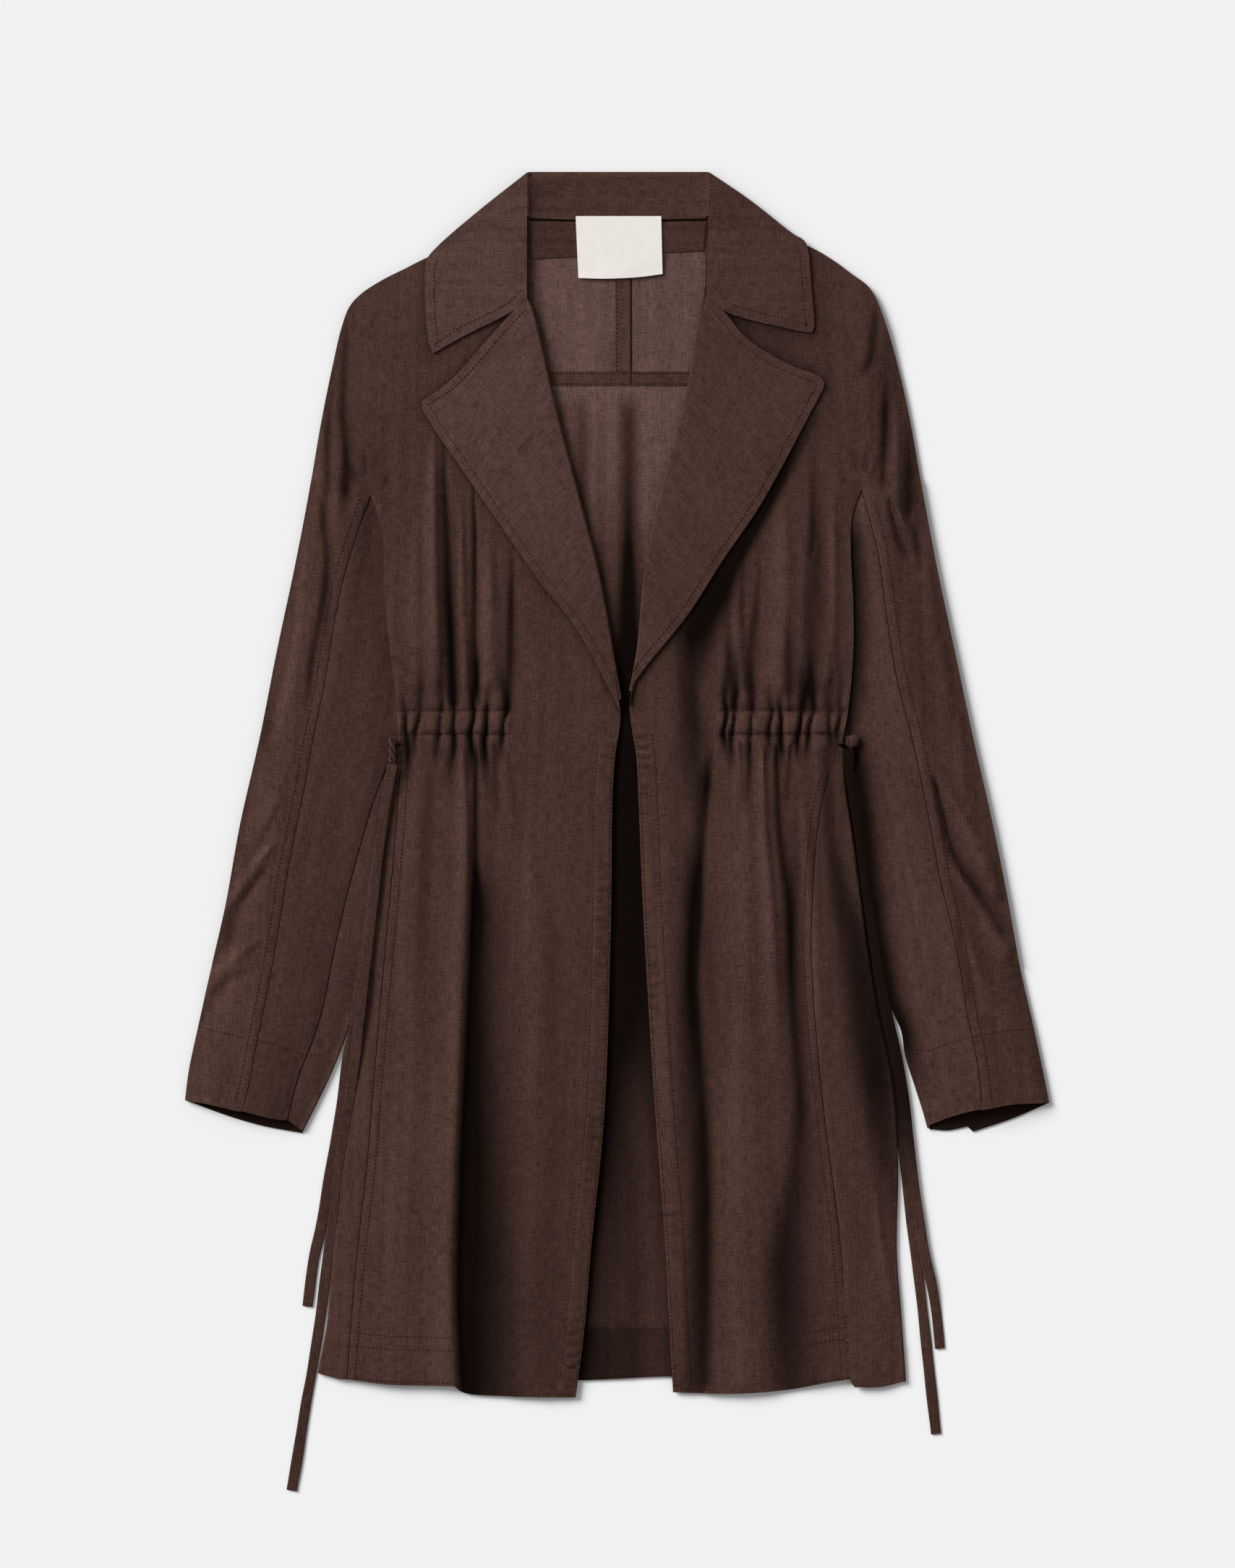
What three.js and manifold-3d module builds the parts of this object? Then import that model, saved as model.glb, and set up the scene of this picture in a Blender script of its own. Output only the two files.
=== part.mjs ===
// Duster coat in sheer brown voile, laid face up and open on a flat surface.
// Millimetres. X runs to the right across the coat, Y runs from hem to collar, Z is up from the surface.
import * as THREE from 'three';
import { mergeVertices } from 'three/addons/utils/BufferGeometryUtils.js';
import Module from 'manifold-3d';

const wasm = await Module();
wasm.setup();

// Cloth wall and the space kept between two pieces
const CLOTH = 1.2;
const GAP = 0.3;
const TRIM = 1.0;
const LAYER = CLOTH + GAP;

// Heights of the laid layers
const BACK_TOP = CLOTH;
const EDGE_TOP = BACK_TOP + LAYER + 0.1;
const BODY_RISE = 3.5;
const SLEEVE_RISE = 7.2;
const EDGE_ROLL = 16;
const OPENING_DROP = 2.2;
const OPENING_ROLL = 13;
const HEM_DROP = 1.6;
const HEM_ROLL = 24;
const LOWEST_OVER_SLEEVE = EDGE_TOP + LAYER;

// The collar's fall lies under the neck of the back and lifts it by one layer
const COLLAR_LIFT = LAYER;
const LIFT_START_Y = 320;
const LIFT_FULL_Y = 345;

// Levels along the body
const NECK_Y = 431.5;
const COLLAR_TOP_Y = 464;
const SEAM_BAND = 12;
const SEAM_BAND_RAISE = 0.6;
const YOKE_SEAM_Y = 302;
const CENTRE_BACK_X = 11;
const WAIST_Y = 46;
const SIDE_SEAM_TOP_Y = 30;
const HEM_Y = -462;
const CUFF_Y = -262;
const UNDERARM_Y = 219;
const FREE_SLEEVE_Y = -100;
const YOKE_BAND_X = 78;
const FACING_LOW_Y = 398.5;
const ABOVE_ALL = 40;

// Folded edges that join the front and back of one piece
const RIM = 1.5;

// Space kept under the collar leaves and lapels, which follow the fronts more loosely
const COVER_GAP = 0.5;

// Extra height of the cloth where it turns over at the roll line
const ROLL = { height: 1.4, reach: 22 };

// Gathers and the casing that draws them in
const GATHER = { depth: 2.2, width: 3.2 };
const CASING = { swell: 0.8, dip: 0.7, half: 14, nearEnd: 8, farEnd: 12, fadeStart: 10 };

// Where the fronts pass from the body on to the fuller sleeve
const SLEEVE_BLEND = { start: 12, width: 40, topY: 330, length: 110 };

// Where the body lies over the inside of the sleeve
const OVER_SLEEVE = { topY: 230, lowY: -125, reach: 22, margin: 13 };

// How the under-sleeve dips beneath the side of the body
const SLEEVE_DIP = { share: 0.6, startY: 165, length: 30 };

// Flat drawstring ties
const TIE_WIDTH = 8.4;
const TIE_THICKNESS = 1.4;
const TIE_STEP = 24;

// Moves the middle of the coat's outline over the origin
const CENTRE_X = -0.5;
const CENTRE_Y = 1.5;

const SIDES = {
  left: {
    sign: -1,
    // x, y from the neck point over the shoulder and down the outer sleeve
    outer: [[-66, 431.5], [-143, 400], [-161, 391], [-177, 383], [-194, 372], [-203, 362], [-209, 346], [-215, 321],
      [-224, 277], [-234, 219], [-244, 167], [-258, 101], [-271, 35], [-286, -31], [-297, -92], [-307, -136],
      [-318, -185], [-325, -218], [-328, -241]],
    // x, y from the underarm down the body and the skirt
    side: [[-187, 219], [-181, 203], [-177, 179], [-176, 137], [-171, 93], [-167, 55], [-166, 31], [-167, -4],
      [-172, -37], [-185, -119], [-189, -174], [-196, -229], [-206, -290], [-213, -356], [-218, -411], [-225, -449]],
    // x, y of the side seam that shows on the skirt
    sideSeam: [[-163, 29], [-170, -64], [-180, -174], [-189, -284], [-198, -367], [-205, -453]],
    // x, y of the front sleeve seam from the underarm to the cuff
    seam: [[-187, 219], [-199, 183], [-208, 153], [-215, 117], [-221, 79], [-229, 40], [-238, -9], [-249, -64],
      [-257, -114], [-265, -158], [-274, -202], [-279, -229], [-284, -249]],
    // x, y of the rear sleeve seam, where the back of the sleeve wraps round to the front
    rearSeam: [[-168, 28], [-183, -9], [-194, -45], [-205, -86], [-215, -130], [-224, -174], [-232, -199],
      [-242, -224], [-250, -256]],
    // x, y of the fold along the inside of the sleeve, hidden under the body at its top
    inner: [[-187, 219], [-164, 178], [-150, 128], [-150, 70], [-160, 40], [-164, 18], [-169, -31], [-178, -86],
      [-189, -136], [-203, -182], [-211, -204], [-218, -221], [-227, -240], [-239, -264]],
    cuffFront: [[-328, -241], [-309, -244], [-287, -249], [-260, -255], [-239, -263]],
    cuffBack: [[-328, -242], [-298, -252], [-271, -260], [-239, -266]],
    // x, y from the neck down the roll line and the front edge
    opening: [[-66, 431.5], [-67, 387], [-65, 362], [-59, 337], [-48, 288], [-30, 219], [-15, 161], [-4, 101],
      [3, 54], [2, 40], [-1, 21], [-3, -9], [-4, -92], [-8, -229], [-12, -284], [-19, -350], [-24, -411],
      [-31, -467]],
    hem: [[-205, -454], [-172, -457], [-123, -458], [-117, -463], [-84, -466], [-31, -467]],
    wrapHem: [[-210, -453]],
    leaf: [[-68, 464], [-106, 434], [-136, 408], [-143, 400], [-145, 395], [-145, 359], [-142, 332], [-139, 326.5],
      [-117, 339], [-78, 359.3], [-68, 369.3]],
    lapel: [[-68, 369], [-78, 359], [-106, 328], [-125, 307], [-148, 290], [-148, 286], [-139, 270], [-117, 238],
      [-84, 190], [-59, 154], [-29, 115], [3, 54], [-4, 101], [-15, 161], [-30, 219], [-48, 288], [-59, 337],
      [-65, 362]],
    // x of each gather of the waist casing, and how far it runs up and down
    gathers: [[-161, 30, 62], [-151, 62, 34], [-143, 48, 58], [-134, 70, 46], [-125, 30, 66], [-120, 44, 30],
      [-111, 76, 52], [-104, 34, 34], [-98, 30, 60], [-91, 46, 36], [-85, 60, 42]],
    // x and y at the start, middle and end of a fold, its width to the left and right, and its height
    folds: [
      [-131, 262, -126, 180, -125, 52, 5, 11, -2.6],
      [-108, 222, -106, 160, -98, 52, 4, 5, -2.0],
      [-75, 170, -78, 117, -84, 48, 4, 7, -2.2],
      [-148, 200, -150, 120, -150, 60, 8, 8, 0.9],
      [-109, 34, -105, -120, -108, -449, 4, 15, -3.4],
      [-118, 30, -117, -130, -129, -457, 12, 5, 2.2],
      [-92, 30, -91, 0, -89, -30, 5, 5, -1.6],
      [-150, 10, -157, -180, -168, -440, 16, 16, 0.9],
      [-70, -40, -66, -200, -70, -440, 18, 20, 1.0],
      [-206, 356, -207, 277, -208, 196, 5, 7, -2.2],
      [-213, 236, -215, 200, -216, 160, 4, 4, -1.9],
      [-227, 240, -225, 145, -232, 80, 4, 6, -2.2],
      [-243, 152, -246, 101, -258, 60, 5, 5, -1.6],
      [-254, -40, -279, -81, -300, -99, 7, 7, 2.0],
      [-262, -76, -290, -112, -307, -143, 8, 8, -2.0],
      [-272, -146, -291, -165, -314, -192, 6, 6, 1.5],
    ],
  },
  right: {
    sign: 1,
    outer: [[69, 431.5], [144, 409], [164, 398], [179, 387], [191, 378], [197, 369], [203, 354], [213, 321],
      [223, 277], [232, 226], [243, 167], [257, 101], [271, 35], [286, -31], [297, -86], [307, -141], [317, -185],
      [324, -218], [329, -243]],
    side: [[186, 224], [179, 203], [178, 178], [180, 137], [180, 101], [176, 55], [171, 31], [172, -4], [177, -37],
      [188, -119], [197, -174], [208, -229], [212, -290], [211, -356], [215, -411], [218, -455]],
    sideSeam: [[168, 29], [154, -26], [148, -108], [149, -153], [157, -245], [170, -351], [177, -453]],
    seam: [[186, 224], [199, 172], [205, 128], [213, 79], [223, 40], [229, 13], [240, -42], [246, -75],
      [253, -103], [262, -147], [266, -174], [274, -213], [278, -248]],
    rearSeam: null,
    inner: [[186, 224], [164, 178], [152, 128], [158, 80], [175, 46], [186, -9], [194, -81], [203, -136],
      [210, -169], [218, -188], [221, -207], [228, -229], [235, -251], [238, -262]],
    cuffFront: [[329, -243], [301, -244], [274, -248], [252, -254], [238, -260]],
    cuffBack: [[329, -246], [301, -255], [271, -265], [267, -261], [252, -264], [238, -263]],
    opening: [[69, 431.5], [68, 398], [67, 373], [62, 343], [53, 288], [36, 226], [23, 161], [17, 101], [10, 60],
      [11, 46], [15, 21], [17, -20], [20, -92], [28, -229], [32, -284], [37, -350], [40, -411], [43, -463]],
    hem: [[177, -454], [158, -456], [131, -461], [87, -464], [43, -463]],
    wrapHem: [[201, -459], [181, -459]],
    leaf: [[71, 464], [103, 442], [135, 417], [142, 413], [145, 408], [148, 376], [150, 347], [148, 342],
      [131, 345], [81, 359.3], [68, 373.3]],
    lapel: [[68, 373], [81, 359], [100, 337], [131, 318], [154, 309], [158, 304], [157, 300], [146, 279],
      [109, 211], [81, 170], [54, 128], [21, 87], [13, 75], [10, 60], [17, 101], [23, 161], [36, 226], [53, 288],
      [62, 343]],
    gathers: [[82, 56, 30], [90, 82, 48], [103, 84, 38], [116, 40, 34], [132, 50, 44], [146, 70, 40],
      [161, 56, 36]],
    folds: [
      [87, 128, 88, 90, 90, 46, 4, 5, -1.8],
      [105, 136, 106, 90, 107, 46, 4, 5, -1.6],
      [155, 244, 154, 140, 147, 46, 8, 8, -2.2],
      [163, 104, 164, 70, 165, 46, 4, 4, -1.6],
      [130, 170, 131, 110, 131, 60, 9, 8, 0.9],
      [73, 12, 57, -136, 66, -430, 10, 13, -2.8],
      [121, 34, 127, -64, 144, -284, 5, 7, -2.9],
      [137, -40, 144, -95, 158, -200, 8, 9, 1.6],
      [141, -251, 136, -328, 128, -456, 8, 18, -2.6],
      [98, 10, 94, -150, 100, -440, 14, 12, 1.2],
      [193, -287, 203, -361, 213, -410, 5, 5, 1.2],
      [198, 368, 196, 341, 184, 303, 5, 5, -2.0],
      [203, 345, 203, 280, 204, 214, 5, 5, -2.2],
      [224, 274, 222, 196, 214, 155, 5, 5, -2.0],
      [213, 236, 211, 212, 208, 188, 4, 4, -1.5],
      [240, 4, 268, -83, 303, -125, 7, 7, 2.0],
      [255, -16, 284, -76, 300, -110, 8, 8, -1.8],
      [268, -108, 282, -165, 300, -197, 6, 6, 1.4],
    ],
  },
};

// Soft vertical folds of the lower back that show between the fronts: x, half width and height
const BACK_FOLDS = [[-44, 9, 0.6], [-28, 9, 0.9], [-8, 8, 0.5], [8, 9, 0.9], [26, 8, 0.6], [42, 9, 0.9]];
const BACK_FOLD_REACH = 54;

// Free tails of the drawstring: x, y, z from the knot to the cut end
const TIES = {
  left_short: [[-170.5, 14.5, 6.2], [-173, -9, 6.2], [-178, -37, 6.3], [-185, -81, 6.4], [-190, -119, 6.2],
    [-196, -163, 5.0], [-199, -185, 3.9], [-204, -207, 2.1], [-207, -229, 0.9], [-210, -251, 0.9],
    [-218, -295, 0.9], [-225, -339, 0.9], [-230, -361, 0.9], [-235, -398, 0.9]],
  left_long: [[-170, 14.5, 8.0], [-176, -20, 8.0], [-182, -64, 8.1], [-187, -108, 8.0], [-192, -152, 7.2],
    [-197, -196, 5.3], [-203, -240, 3.0], [-208.5, -273, 2.6], [-213, -306, 2.6], [-216, -335, 2.5],
    [-219.5, -361, 0.9], [-225, -405, 0.9], [-232, -449, 0.9], [-236, -471, 0.9], [-243, -515, 0.9],
    [-247, -538, 0.9]],
  right_long: [[175.2, 26, 6.7], [176, 21, 6.6], [176.3, 13, 4.4], [178, 4, 2.2], [180, -14, 0.9],
    [182, -31, 0.9], [187, -70, 0.9], [193, -114, 0.9], [199, -152, 0.9], [205, -185, 0.9], [211, -218, 0.9],
    [216, -262, 0.9], [219, -284, 0.9], [225, -339, 0.9], [232, -394, 0.9], [238, -449, 0.9], [243, -495, 0.9]],
  right_short: [[176.4, 26, 8.6], [176.9, 21, 8.5], [177, 13, 6.7], [178, 4, 4.6], [180.8, -14, 2.6],
    [183.8, -31, 2.5], [188.8, -70, 2.5], [194.8, -114, 2.5], [201, -152, 2.5], [208, -185, 2.5],
    [215, -218, 2.5], [220, -251, 2.5], [225, -295, 2.5], [231, -339, 2.5], [235, -362, 2.5],
    [240, -383, 2.1], [243.5, -405, 0.9], [246, -430, 0.9]],
};

// Knots: centre, and half size across, along and up
const KNOTS = {
  left: { centre: [-170, 25.2, 7.8], half: [3.4, 9.8, 2.6], twist: 0.16 },
  right: { centre: [180, 32.2, 8.9], half: [5, 5, 2.7], twist: 0 },
};

const COLOURS = {
  cloth: 0x4e3a32,
  back: 0x5d483f,
  tie: 0x46332b,
  label: 0xefe9df,
};

function material(colour) {
  return new THREE.MeshStandardMaterial({ color: colour, roughness: 0.85, metalness: 0 });
}

// Curves and distances

function clamp01(value) {
  return Math.min(1, Math.max(0, value));
}

function smooth(value) {
  const t = clamp01(value);
  return t * t * (3 - 2 * t);
}

// The x of an edge at a height, for an edge that runs downwards
function edgeX(edge, y) {
  if (y >= edge[0][1]) {
    return edge[0][0];
  }
  for (let k = 1; k < edge.length; k += 1) {
    const [x1, y1] = edge[k];
    const [x0, y0] = edge[k - 1];
    if (y >= y1) {
      return x0 + ((x1 - x0) * (y0 - y)) / Math.max(y0 - y1, 1e-6);
    }
  }
  return edge[edge.length - 1][0];
}

function distanceTo(edge, x, y) {
  let nearest = Infinity;
  for (let k = 1; k < edge.length; k += 1) {
    const [x0, y0] = edge[k - 1];
    const [x1, y1] = edge[k];
    const dx = x1 - x0;
    const dy = y1 - y0;
    const t = clamp01(((x - x0) * dx + (y - y0) * dy) / (dx * dx + dy * dy));
    nearest = Math.min(nearest, Math.hypot(x - x0 - t * dx, y - y0 - t * dy));
  }
  return nearest;
}

function shiftX(edge, shift) {
  return edge.map(([x, y]) => [x + shift, y]);
}

function part(edge, from, to) {
  return edge.filter(([, y]) => y <= from && y >= to);
}

// The stretch of an edge below a height, starting exactly there
function below(edge, y) {
  return [[edgeX(edge, y), y], ...part(edge, y - 0.5, -500)];
}

// Height of the cloth

function lift(y) {
  return COLLAR_LIFT * clamp01((y - LIFT_START_Y) / (LIFT_FULL_Y - LIFT_START_Y));
}

function foldHeight([x0, y0, x1, y1, x2, y2, left, right, height], x, y) {
  const path = [[x0, y0], [x1, y1], [x2, y2]];
  const distance = distanceTo(path, x, y);
  const steep = Math.abs(y2 - y0) > Math.abs(x2 - x0);
  const centre = edgeX(path, y);
  const width = !steep || x < centre ? left : right;
  const growth = 0.55 + 0.45 * clamp01((y0 - y) / (y0 - y2));
  return height * Math.exp(-((distance / (width * growth)) ** 2));
}

// Each gather is deepest on the casing and fades above and below it
function gatherHeight([x0, up, down], x, y) {
  const reach = y > WAIST_Y ? up : down;
  const fade = 1 - smooth(Math.abs(y - WAIST_Y) / reach);
  return -GATHER.depth * fade * Math.exp(-(((x - x0) / GATHER.width) ** 2));
}

// The casing swells between its two rows of stitching
function casingHeight(side, x, y) {
  const xs = side.gathers.map(([gx]) => Math.abs(gx));
  const fromNearEnd = (Math.abs(x) - Math.min(...xs) + CASING.nearEnd) / CASING.nearEnd;
  const fromFarEnd = (Math.max(...xs) + CASING.farEnd - Math.abs(x)) / CASING.nearEnd;
  const inCasing = smooth(fromNearEnd) * smooth(fromFarEnd);
  const fromWaist = Math.abs(y - WAIST_Y);
  const wave = Math.cos(clamp01(fromWaist / CASING.half) * Math.PI);
  const fade = 1 - smooth((fromWaist - CASING.fadeStart) / CASING.half);
  return inCasing * (wave > 0 ? CASING.swell * wave : CASING.dip * wave * fade);
}

// The front without its folds and gathers: lowest at its edges, with a soft rise from them
function smoothTop(side, x, y) {
  const outerX = Math.abs(edgeX(side.outer, y));
  const inside = Math.abs(x) <= outerX || y < CUFF_Y;
  const toOuter = inside ? distanceTo(side.outer, x, y) : 0;
  const toSide = distanceTo(side.side, x, y);
  const toInner = distanceTo(part(side.inner, FREE_SLEEVE_Y, -300), x, y);
  const pastSide = Math.abs(x) - Math.abs(edgeX(side.side, y));
  const acrossSleeve = smooth((pastSide + SLEEVE_BLEND.start) / SLEEVE_BLEND.width);
  const onSleeve = acrossSleeve * smooth((SLEEVE_BLEND.topY - y) / SLEEVE_BLEND.length);
  const rise = BODY_RISE + (SLEEVE_RISE - BODY_RISE) * onSleeve;
  const bodySide = part(side.side, OVER_SLEEVE.topY, OVER_SLEEVE.lowY);
  const overSleeve = Math.exp(-((distanceTo(bodySide, x, y) / OVER_SLEEVE.reach) ** 2));
  const low = EDGE_TOP + lift(y) + LAYER * overSleeve;
  let height = low + rise * (1 - Math.exp(-Math.min(toOuter, toSide, toInner) / EDGE_ROLL));
  height -= OPENING_DROP * Math.exp(-distanceTo(side.opening, x, y) / OPENING_ROLL);
  height -= HEM_DROP * Math.exp(-Math.max(0, y - HEM_Y) / HEM_ROLL);
  return Math.max(height, EDGE_TOP + lift(y));
}

function frontTop(side, x, y) {
  let height = smoothTop(side, x, y);
  height += side.folds.reduce((sum, fold) => sum + foldHeight(fold, x, y), 0);
  height += side.gathers.reduce((sum, gather) => sum + gatherHeight(gather, x, y), 0);
  height += casingHeight(side, x, y);
  const besideBody = y < OVER_SLEEVE.topY && y > OVER_SLEEVE.lowY - OVER_SLEEVE.margin;
  const overInner = besideBody && Math.abs(x) > Math.abs(edgeX(side.inner, y)) - OVER_SLEEVE.margin;
  const lowest = (overInner ? LOWEST_OVER_SLEEVE : EDGE_TOP) + lift(y);
  return Math.max(height, lowest);
}

// The under-sleeve meets the front at their seam and dips one layer to pass under the body
function underTop(side, x, y) {
  const seamX = Math.abs(edgeX(side.seam, y));
  const sideX = Math.abs(edgeX(side.side, y));
  const across = (seamX - Math.abs(x)) / Math.max(seamX - sideX, 10);
  const dip = Math.max(smooth(across / SLEEVE_DIP.share), smooth((y - SLEEVE_DIP.startY) / SLEEVE_DIP.length));
  return Math.max(frontTop(side, x, y) - LAYER * dip, EDGE_TOP);
}

function backTop(x, y) {
  const shows = smooth((BACK_FOLD_REACH - Math.abs(x)) / 8) * smooth((YOKE_SEAM_Y - 4 - y) / 30);
  const foldAt = ([fx, width, height]) => height * Math.exp(-(((x - fx) / width) ** 2));
  return BACK_TOP + shows * BACK_FOLDS.reduce((sum, fold) => sum + foldAt(fold), 0);
}

// Lattice lines: close together at the gathers, wide apart elsewhere

function steps(from, to, step) {
  const count = Math.max(1, Math.round(Math.abs(to - from) / step));
  return Array.from({ length: count + 1 }, (_, k) => from + ((to - from) * k) / count);
}

function sortedLines(values, closest) {
  const kept = [];
  for (const value of [...values].sort((a, b) => a - b)) {
    if (kept.length === 0 || value - kept[kept.length - 1] > closest) {
      kept.push(value);
    }
  }
  return kept;
}

function gatherLines(side) {
  const centres = side.gathers.map(([x]) => x);
  const between = centres.slice(1).map((x, k) => (x + centres[k]) / 2);
  return [...centres, ...between];
}

const LINES_X = sortedLines([
  ...steps(-342, -238, 15), ...steps(-227, -170, 9.5), ...gatherLines(SIDES.left), ...steps(-76, -4, 18),
  ...steps(14, 74, 20), ...gatherLines(SIDES.right), ...steps(169, 230, 10), ...steps(242, 344, 15),
], 2.5);

const LINES_Y = sortedLines([
  ...steps(-490, -30, 46), -8, 10, 23, 32, 39, 46, 53, 61, 74, 92, ...steps(118, LIFT_START_Y, 34),
  LIFT_FULL_Y, ...steps(375, 475, 33),
], 2.5);

// The leaves and lapels are smooth, so every second line is enough
const COVER_LINES_X = sortedLines(LINES_X, 6);

function linesAcross(lines, low, high) {
  const first = Math.max(0, lines.findIndex((line) => line > low) - 1);
  const last = lines.findIndex((line) => line >= high);
  return lines.slice(first, (last < 0 ? lines.length - 1 : last) + 1);
}

// Solids

function toManifold(geometry) {
  const bare = geometry.clone();
  bare.deleteAttribute('normal');
  bare.deleteAttribute('uv');
  const merged = mergeVertices(bare, 1e-4);
  return new wasm.Manifold(new wasm.Mesh({
    numProp: 3,
    vertProperties: new Float32Array(merged.attributes.position.array),
    triVerts: new Uint32Array(merged.index.array),
  }));
}

// A closed slab over a grid of lines, between two height functions
function heightSlab(xs, ys, topAt, bottomAt) {
  const positions = [];
  const index = [];
  const nx = xs.length;
  const ny = ys.length;
  for (const heightAt of [bottomAt, topAt]) {
    for (const y of ys) {
      for (const x of xs) {
        positions.push(x, y, heightAt(x, y));
      }
    }
  }
  const vertex = (layer, i, j) => layer * nx * ny + j * nx + i;
  const quad = (a, b, c, d) => index.push(a, b, c, a, c, d);
  for (let j = 0; j < ny - 1; j += 1) {
    for (let i = 0; i < nx - 1; i += 1) {
      quad(vertex(1, i, j), vertex(1, i + 1, j), vertex(1, i + 1, j + 1), vertex(1, i, j + 1));
      index.push(vertex(0, i, j), vertex(0, i + 1, j + 1), vertex(0, i + 1, j));
      index.push(vertex(0, i, j), vertex(0, i, j + 1), vertex(0, i + 1, j + 1));
    }
  }
  for (let i = 0; i < nx - 1; i += 1) {
    quad(vertex(0, i, 0), vertex(0, i + 1, 0), vertex(1, i + 1, 0), vertex(1, i, 0));
    quad(vertex(0, i + 1, ny - 1), vertex(0, i, ny - 1), vertex(1, i, ny - 1), vertex(1, i + 1, ny - 1));
  }
  for (let j = 0; j < ny - 1; j += 1) {
    quad(vertex(0, 0, j + 1), vertex(0, 0, j), vertex(1, 0, j), vertex(1, 0, j + 1));
    quad(vertex(0, nx - 1, j), vertex(0, nx - 1, j + 1), vertex(1, nx - 1, j + 1), vertex(1, nx - 1, j));
  }
  const geometry = new THREE.BufferGeometry();
  geometry.setAttribute('position', new THREE.Float32BufferAttribute(positions, 3));
  geometry.setIndex(index);
  return toManifold(geometry);
}

// An outline raised between two flat levels
function prism(outline, low, high) {
  const shape = new THREE.Shape(outline.map(([x, y]) => new THREE.Vector2(x, y)));
  const geometry = new THREE.ExtrudeGeometry(shape, { depth: high - low, bevelEnabled: false });
  geometry.translate(0, 0, low);
  return toManifold(geometry);
}

// A cut piece of cloth: the part of a slab that lies inside an outline
function panel(outline, topAt, bottomAt, linesX = LINES_X, linesY = LINES_Y) {
  const xs = outline.map(([x]) => x);
  const ys = outline.map(([, y]) => y);
  const acrossX = linesAcross(linesX, Math.min(...xs), Math.max(...xs));
  const acrossY = linesAcross(linesY, Math.min(...ys), Math.max(...ys));
  return heightSlab(acrossX, acrossY, topAt, bottomAt).intersect(prism(outline, -5, ABOVE_ALL));
}

function mesh(name, solid, colour) {
  const { vertProperties, triVerts } = solid.getMesh();
  const geometry = new THREE.BufferGeometry();
  geometry.setAttribute('position', new THREE.Float32BufferAttribute(vertProperties, 3));
  geometry.setIndex(Array.from(triVerts));
  geometry.computeVertexNormals();
  const made = new THREE.Mesh(geometry, material(colour));
  made.name = name;
  return made;
}

// A narrow outline along an edge, from the edge to a copy of it moved inwards
function ribbon(edge, moveX, moveY) {
  const moved = edge.map(([x, y]) => [x + moveX, y + moveY]);
  return [...edge, ...moved.reverse()];
}

// Fronts with their outer sleeves

function front(side) {
  const s = side.sign;
  const bodySide = part(side.side, UNDERARM_Y + 10, SIDE_SEAM_TOP_Y + 1);
  const outline = [
    ...side.outer,
    ...side.cuffFront.filter(([x, y]) => Math.abs(x) > Math.abs(edgeX(side.seam, y)) + 1).slice(1),
    ...shiftX(side.seam, (s * GAP) / 2).reverse(),
    ...bodySide.slice(1),
    ...shiftX(side.sideSeam, (-s * GAP) / 2),
    ...side.hem.slice(1),
    ...[...side.opening].reverse().slice(1, -1),
  ];
  const top = (x, y) => frontTop(side, x, y);
  return panel(outline, top, (x, y) => top(x, y) - CLOTH);
}

function underSleeve(side) {
  const s = side.sign;
  const far = side.rearSeam ? shiftX(side.rearSeam, (s * GAP) / 2) : sleeveFold(side);
  const insideSeam = ([x, y]) => Math.abs(x) < Math.abs(edgeX(side.seam, y)) - 1;
  const outsideFar = ([x, y]) => !side.rearSeam || Math.abs(x) > Math.abs(edgeX(side.rearSeam, y)) + 1;
  const cuff = side.cuffFront.filter((point) => insideSeam(point) && outsideFar(point));
  const hidden = part(side.inner, 200, 31);
  const outline = [
    ...shiftX(side.seam, (-s * GAP) / 2),
    ...cuff,
    ...[...far].reverse(),
    ...[...hidden].reverse(),
  ];
  const top = (x, y) => underTop(side, x, y);
  return panel(outline, top, (x, y) => top(x, y) - CLOTH);
}

// Back

// The fold along the inside of a sleeve, kept clear of the side of the skirt
function sleeveFold(side) {
  return part(side.inner, 18, -300).map(([x, y]) => {
    const clear = Math.abs(edgeX(side.side, y)) + 2 * GAP;
    return [side.sign * Math.max(Math.abs(x), clear), y];
  });
}

function backYoke(side) {
  const s = side.sign;
  const centre = CENTRE_BACK_X + (s * GAP) / 2;
  const besideBody = shiftX(part(side.side, UNDERARM_Y + 10, 20), s * GAP);
  const shoulderNeckY = NECK_Y - 3.5;
  const outline = [
    [centre, shoulderNeckY - 1],
    ...side.outer.map(([x, y]) => [x, Math.min(y, shoulderNeckY)]),
    ...side.cuffBack.slice(1),
    ...[...sleeveFold(side)].reverse().slice(1),
    ...[...besideBody].reverse(),
    [side.side[0][0] + s * GAP, YOKE_SEAM_Y + GAP],
    [centre, YOKE_SEAM_Y + GAP],
  ];
  const linesX = [s * 345, s * 200, s * 60, centre - s * 20].sort((a, b) => a - b);
  const linesY = [-300, -120, 60, 200, LIFT_START_Y, LIFT_FULL_Y, 470];
  let yoke = panel(outline, (x, y) => BACK_TOP + lift(y), (x, y) => lift(y), linesX, linesY);
  const bandLow = YOKE_SEAM_Y + GAP;
  const bandTop = bandLow + SEAM_BAND - 1;
  const bandEnd = s * YOKE_BAND_X;
  const band = [[centre, bandLow], [bandEnd, bandLow], [bandEnd, bandTop], [centre, bandTop]];
  yoke = yoke.add(prism(band, BACK_TOP / 2, BACK_TOP + SEAM_BAND_RAISE));
  if (side.rearSeam) {
    yoke = yoke.add(sleeveWrap(side));
  }
  return yoke;
}

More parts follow.
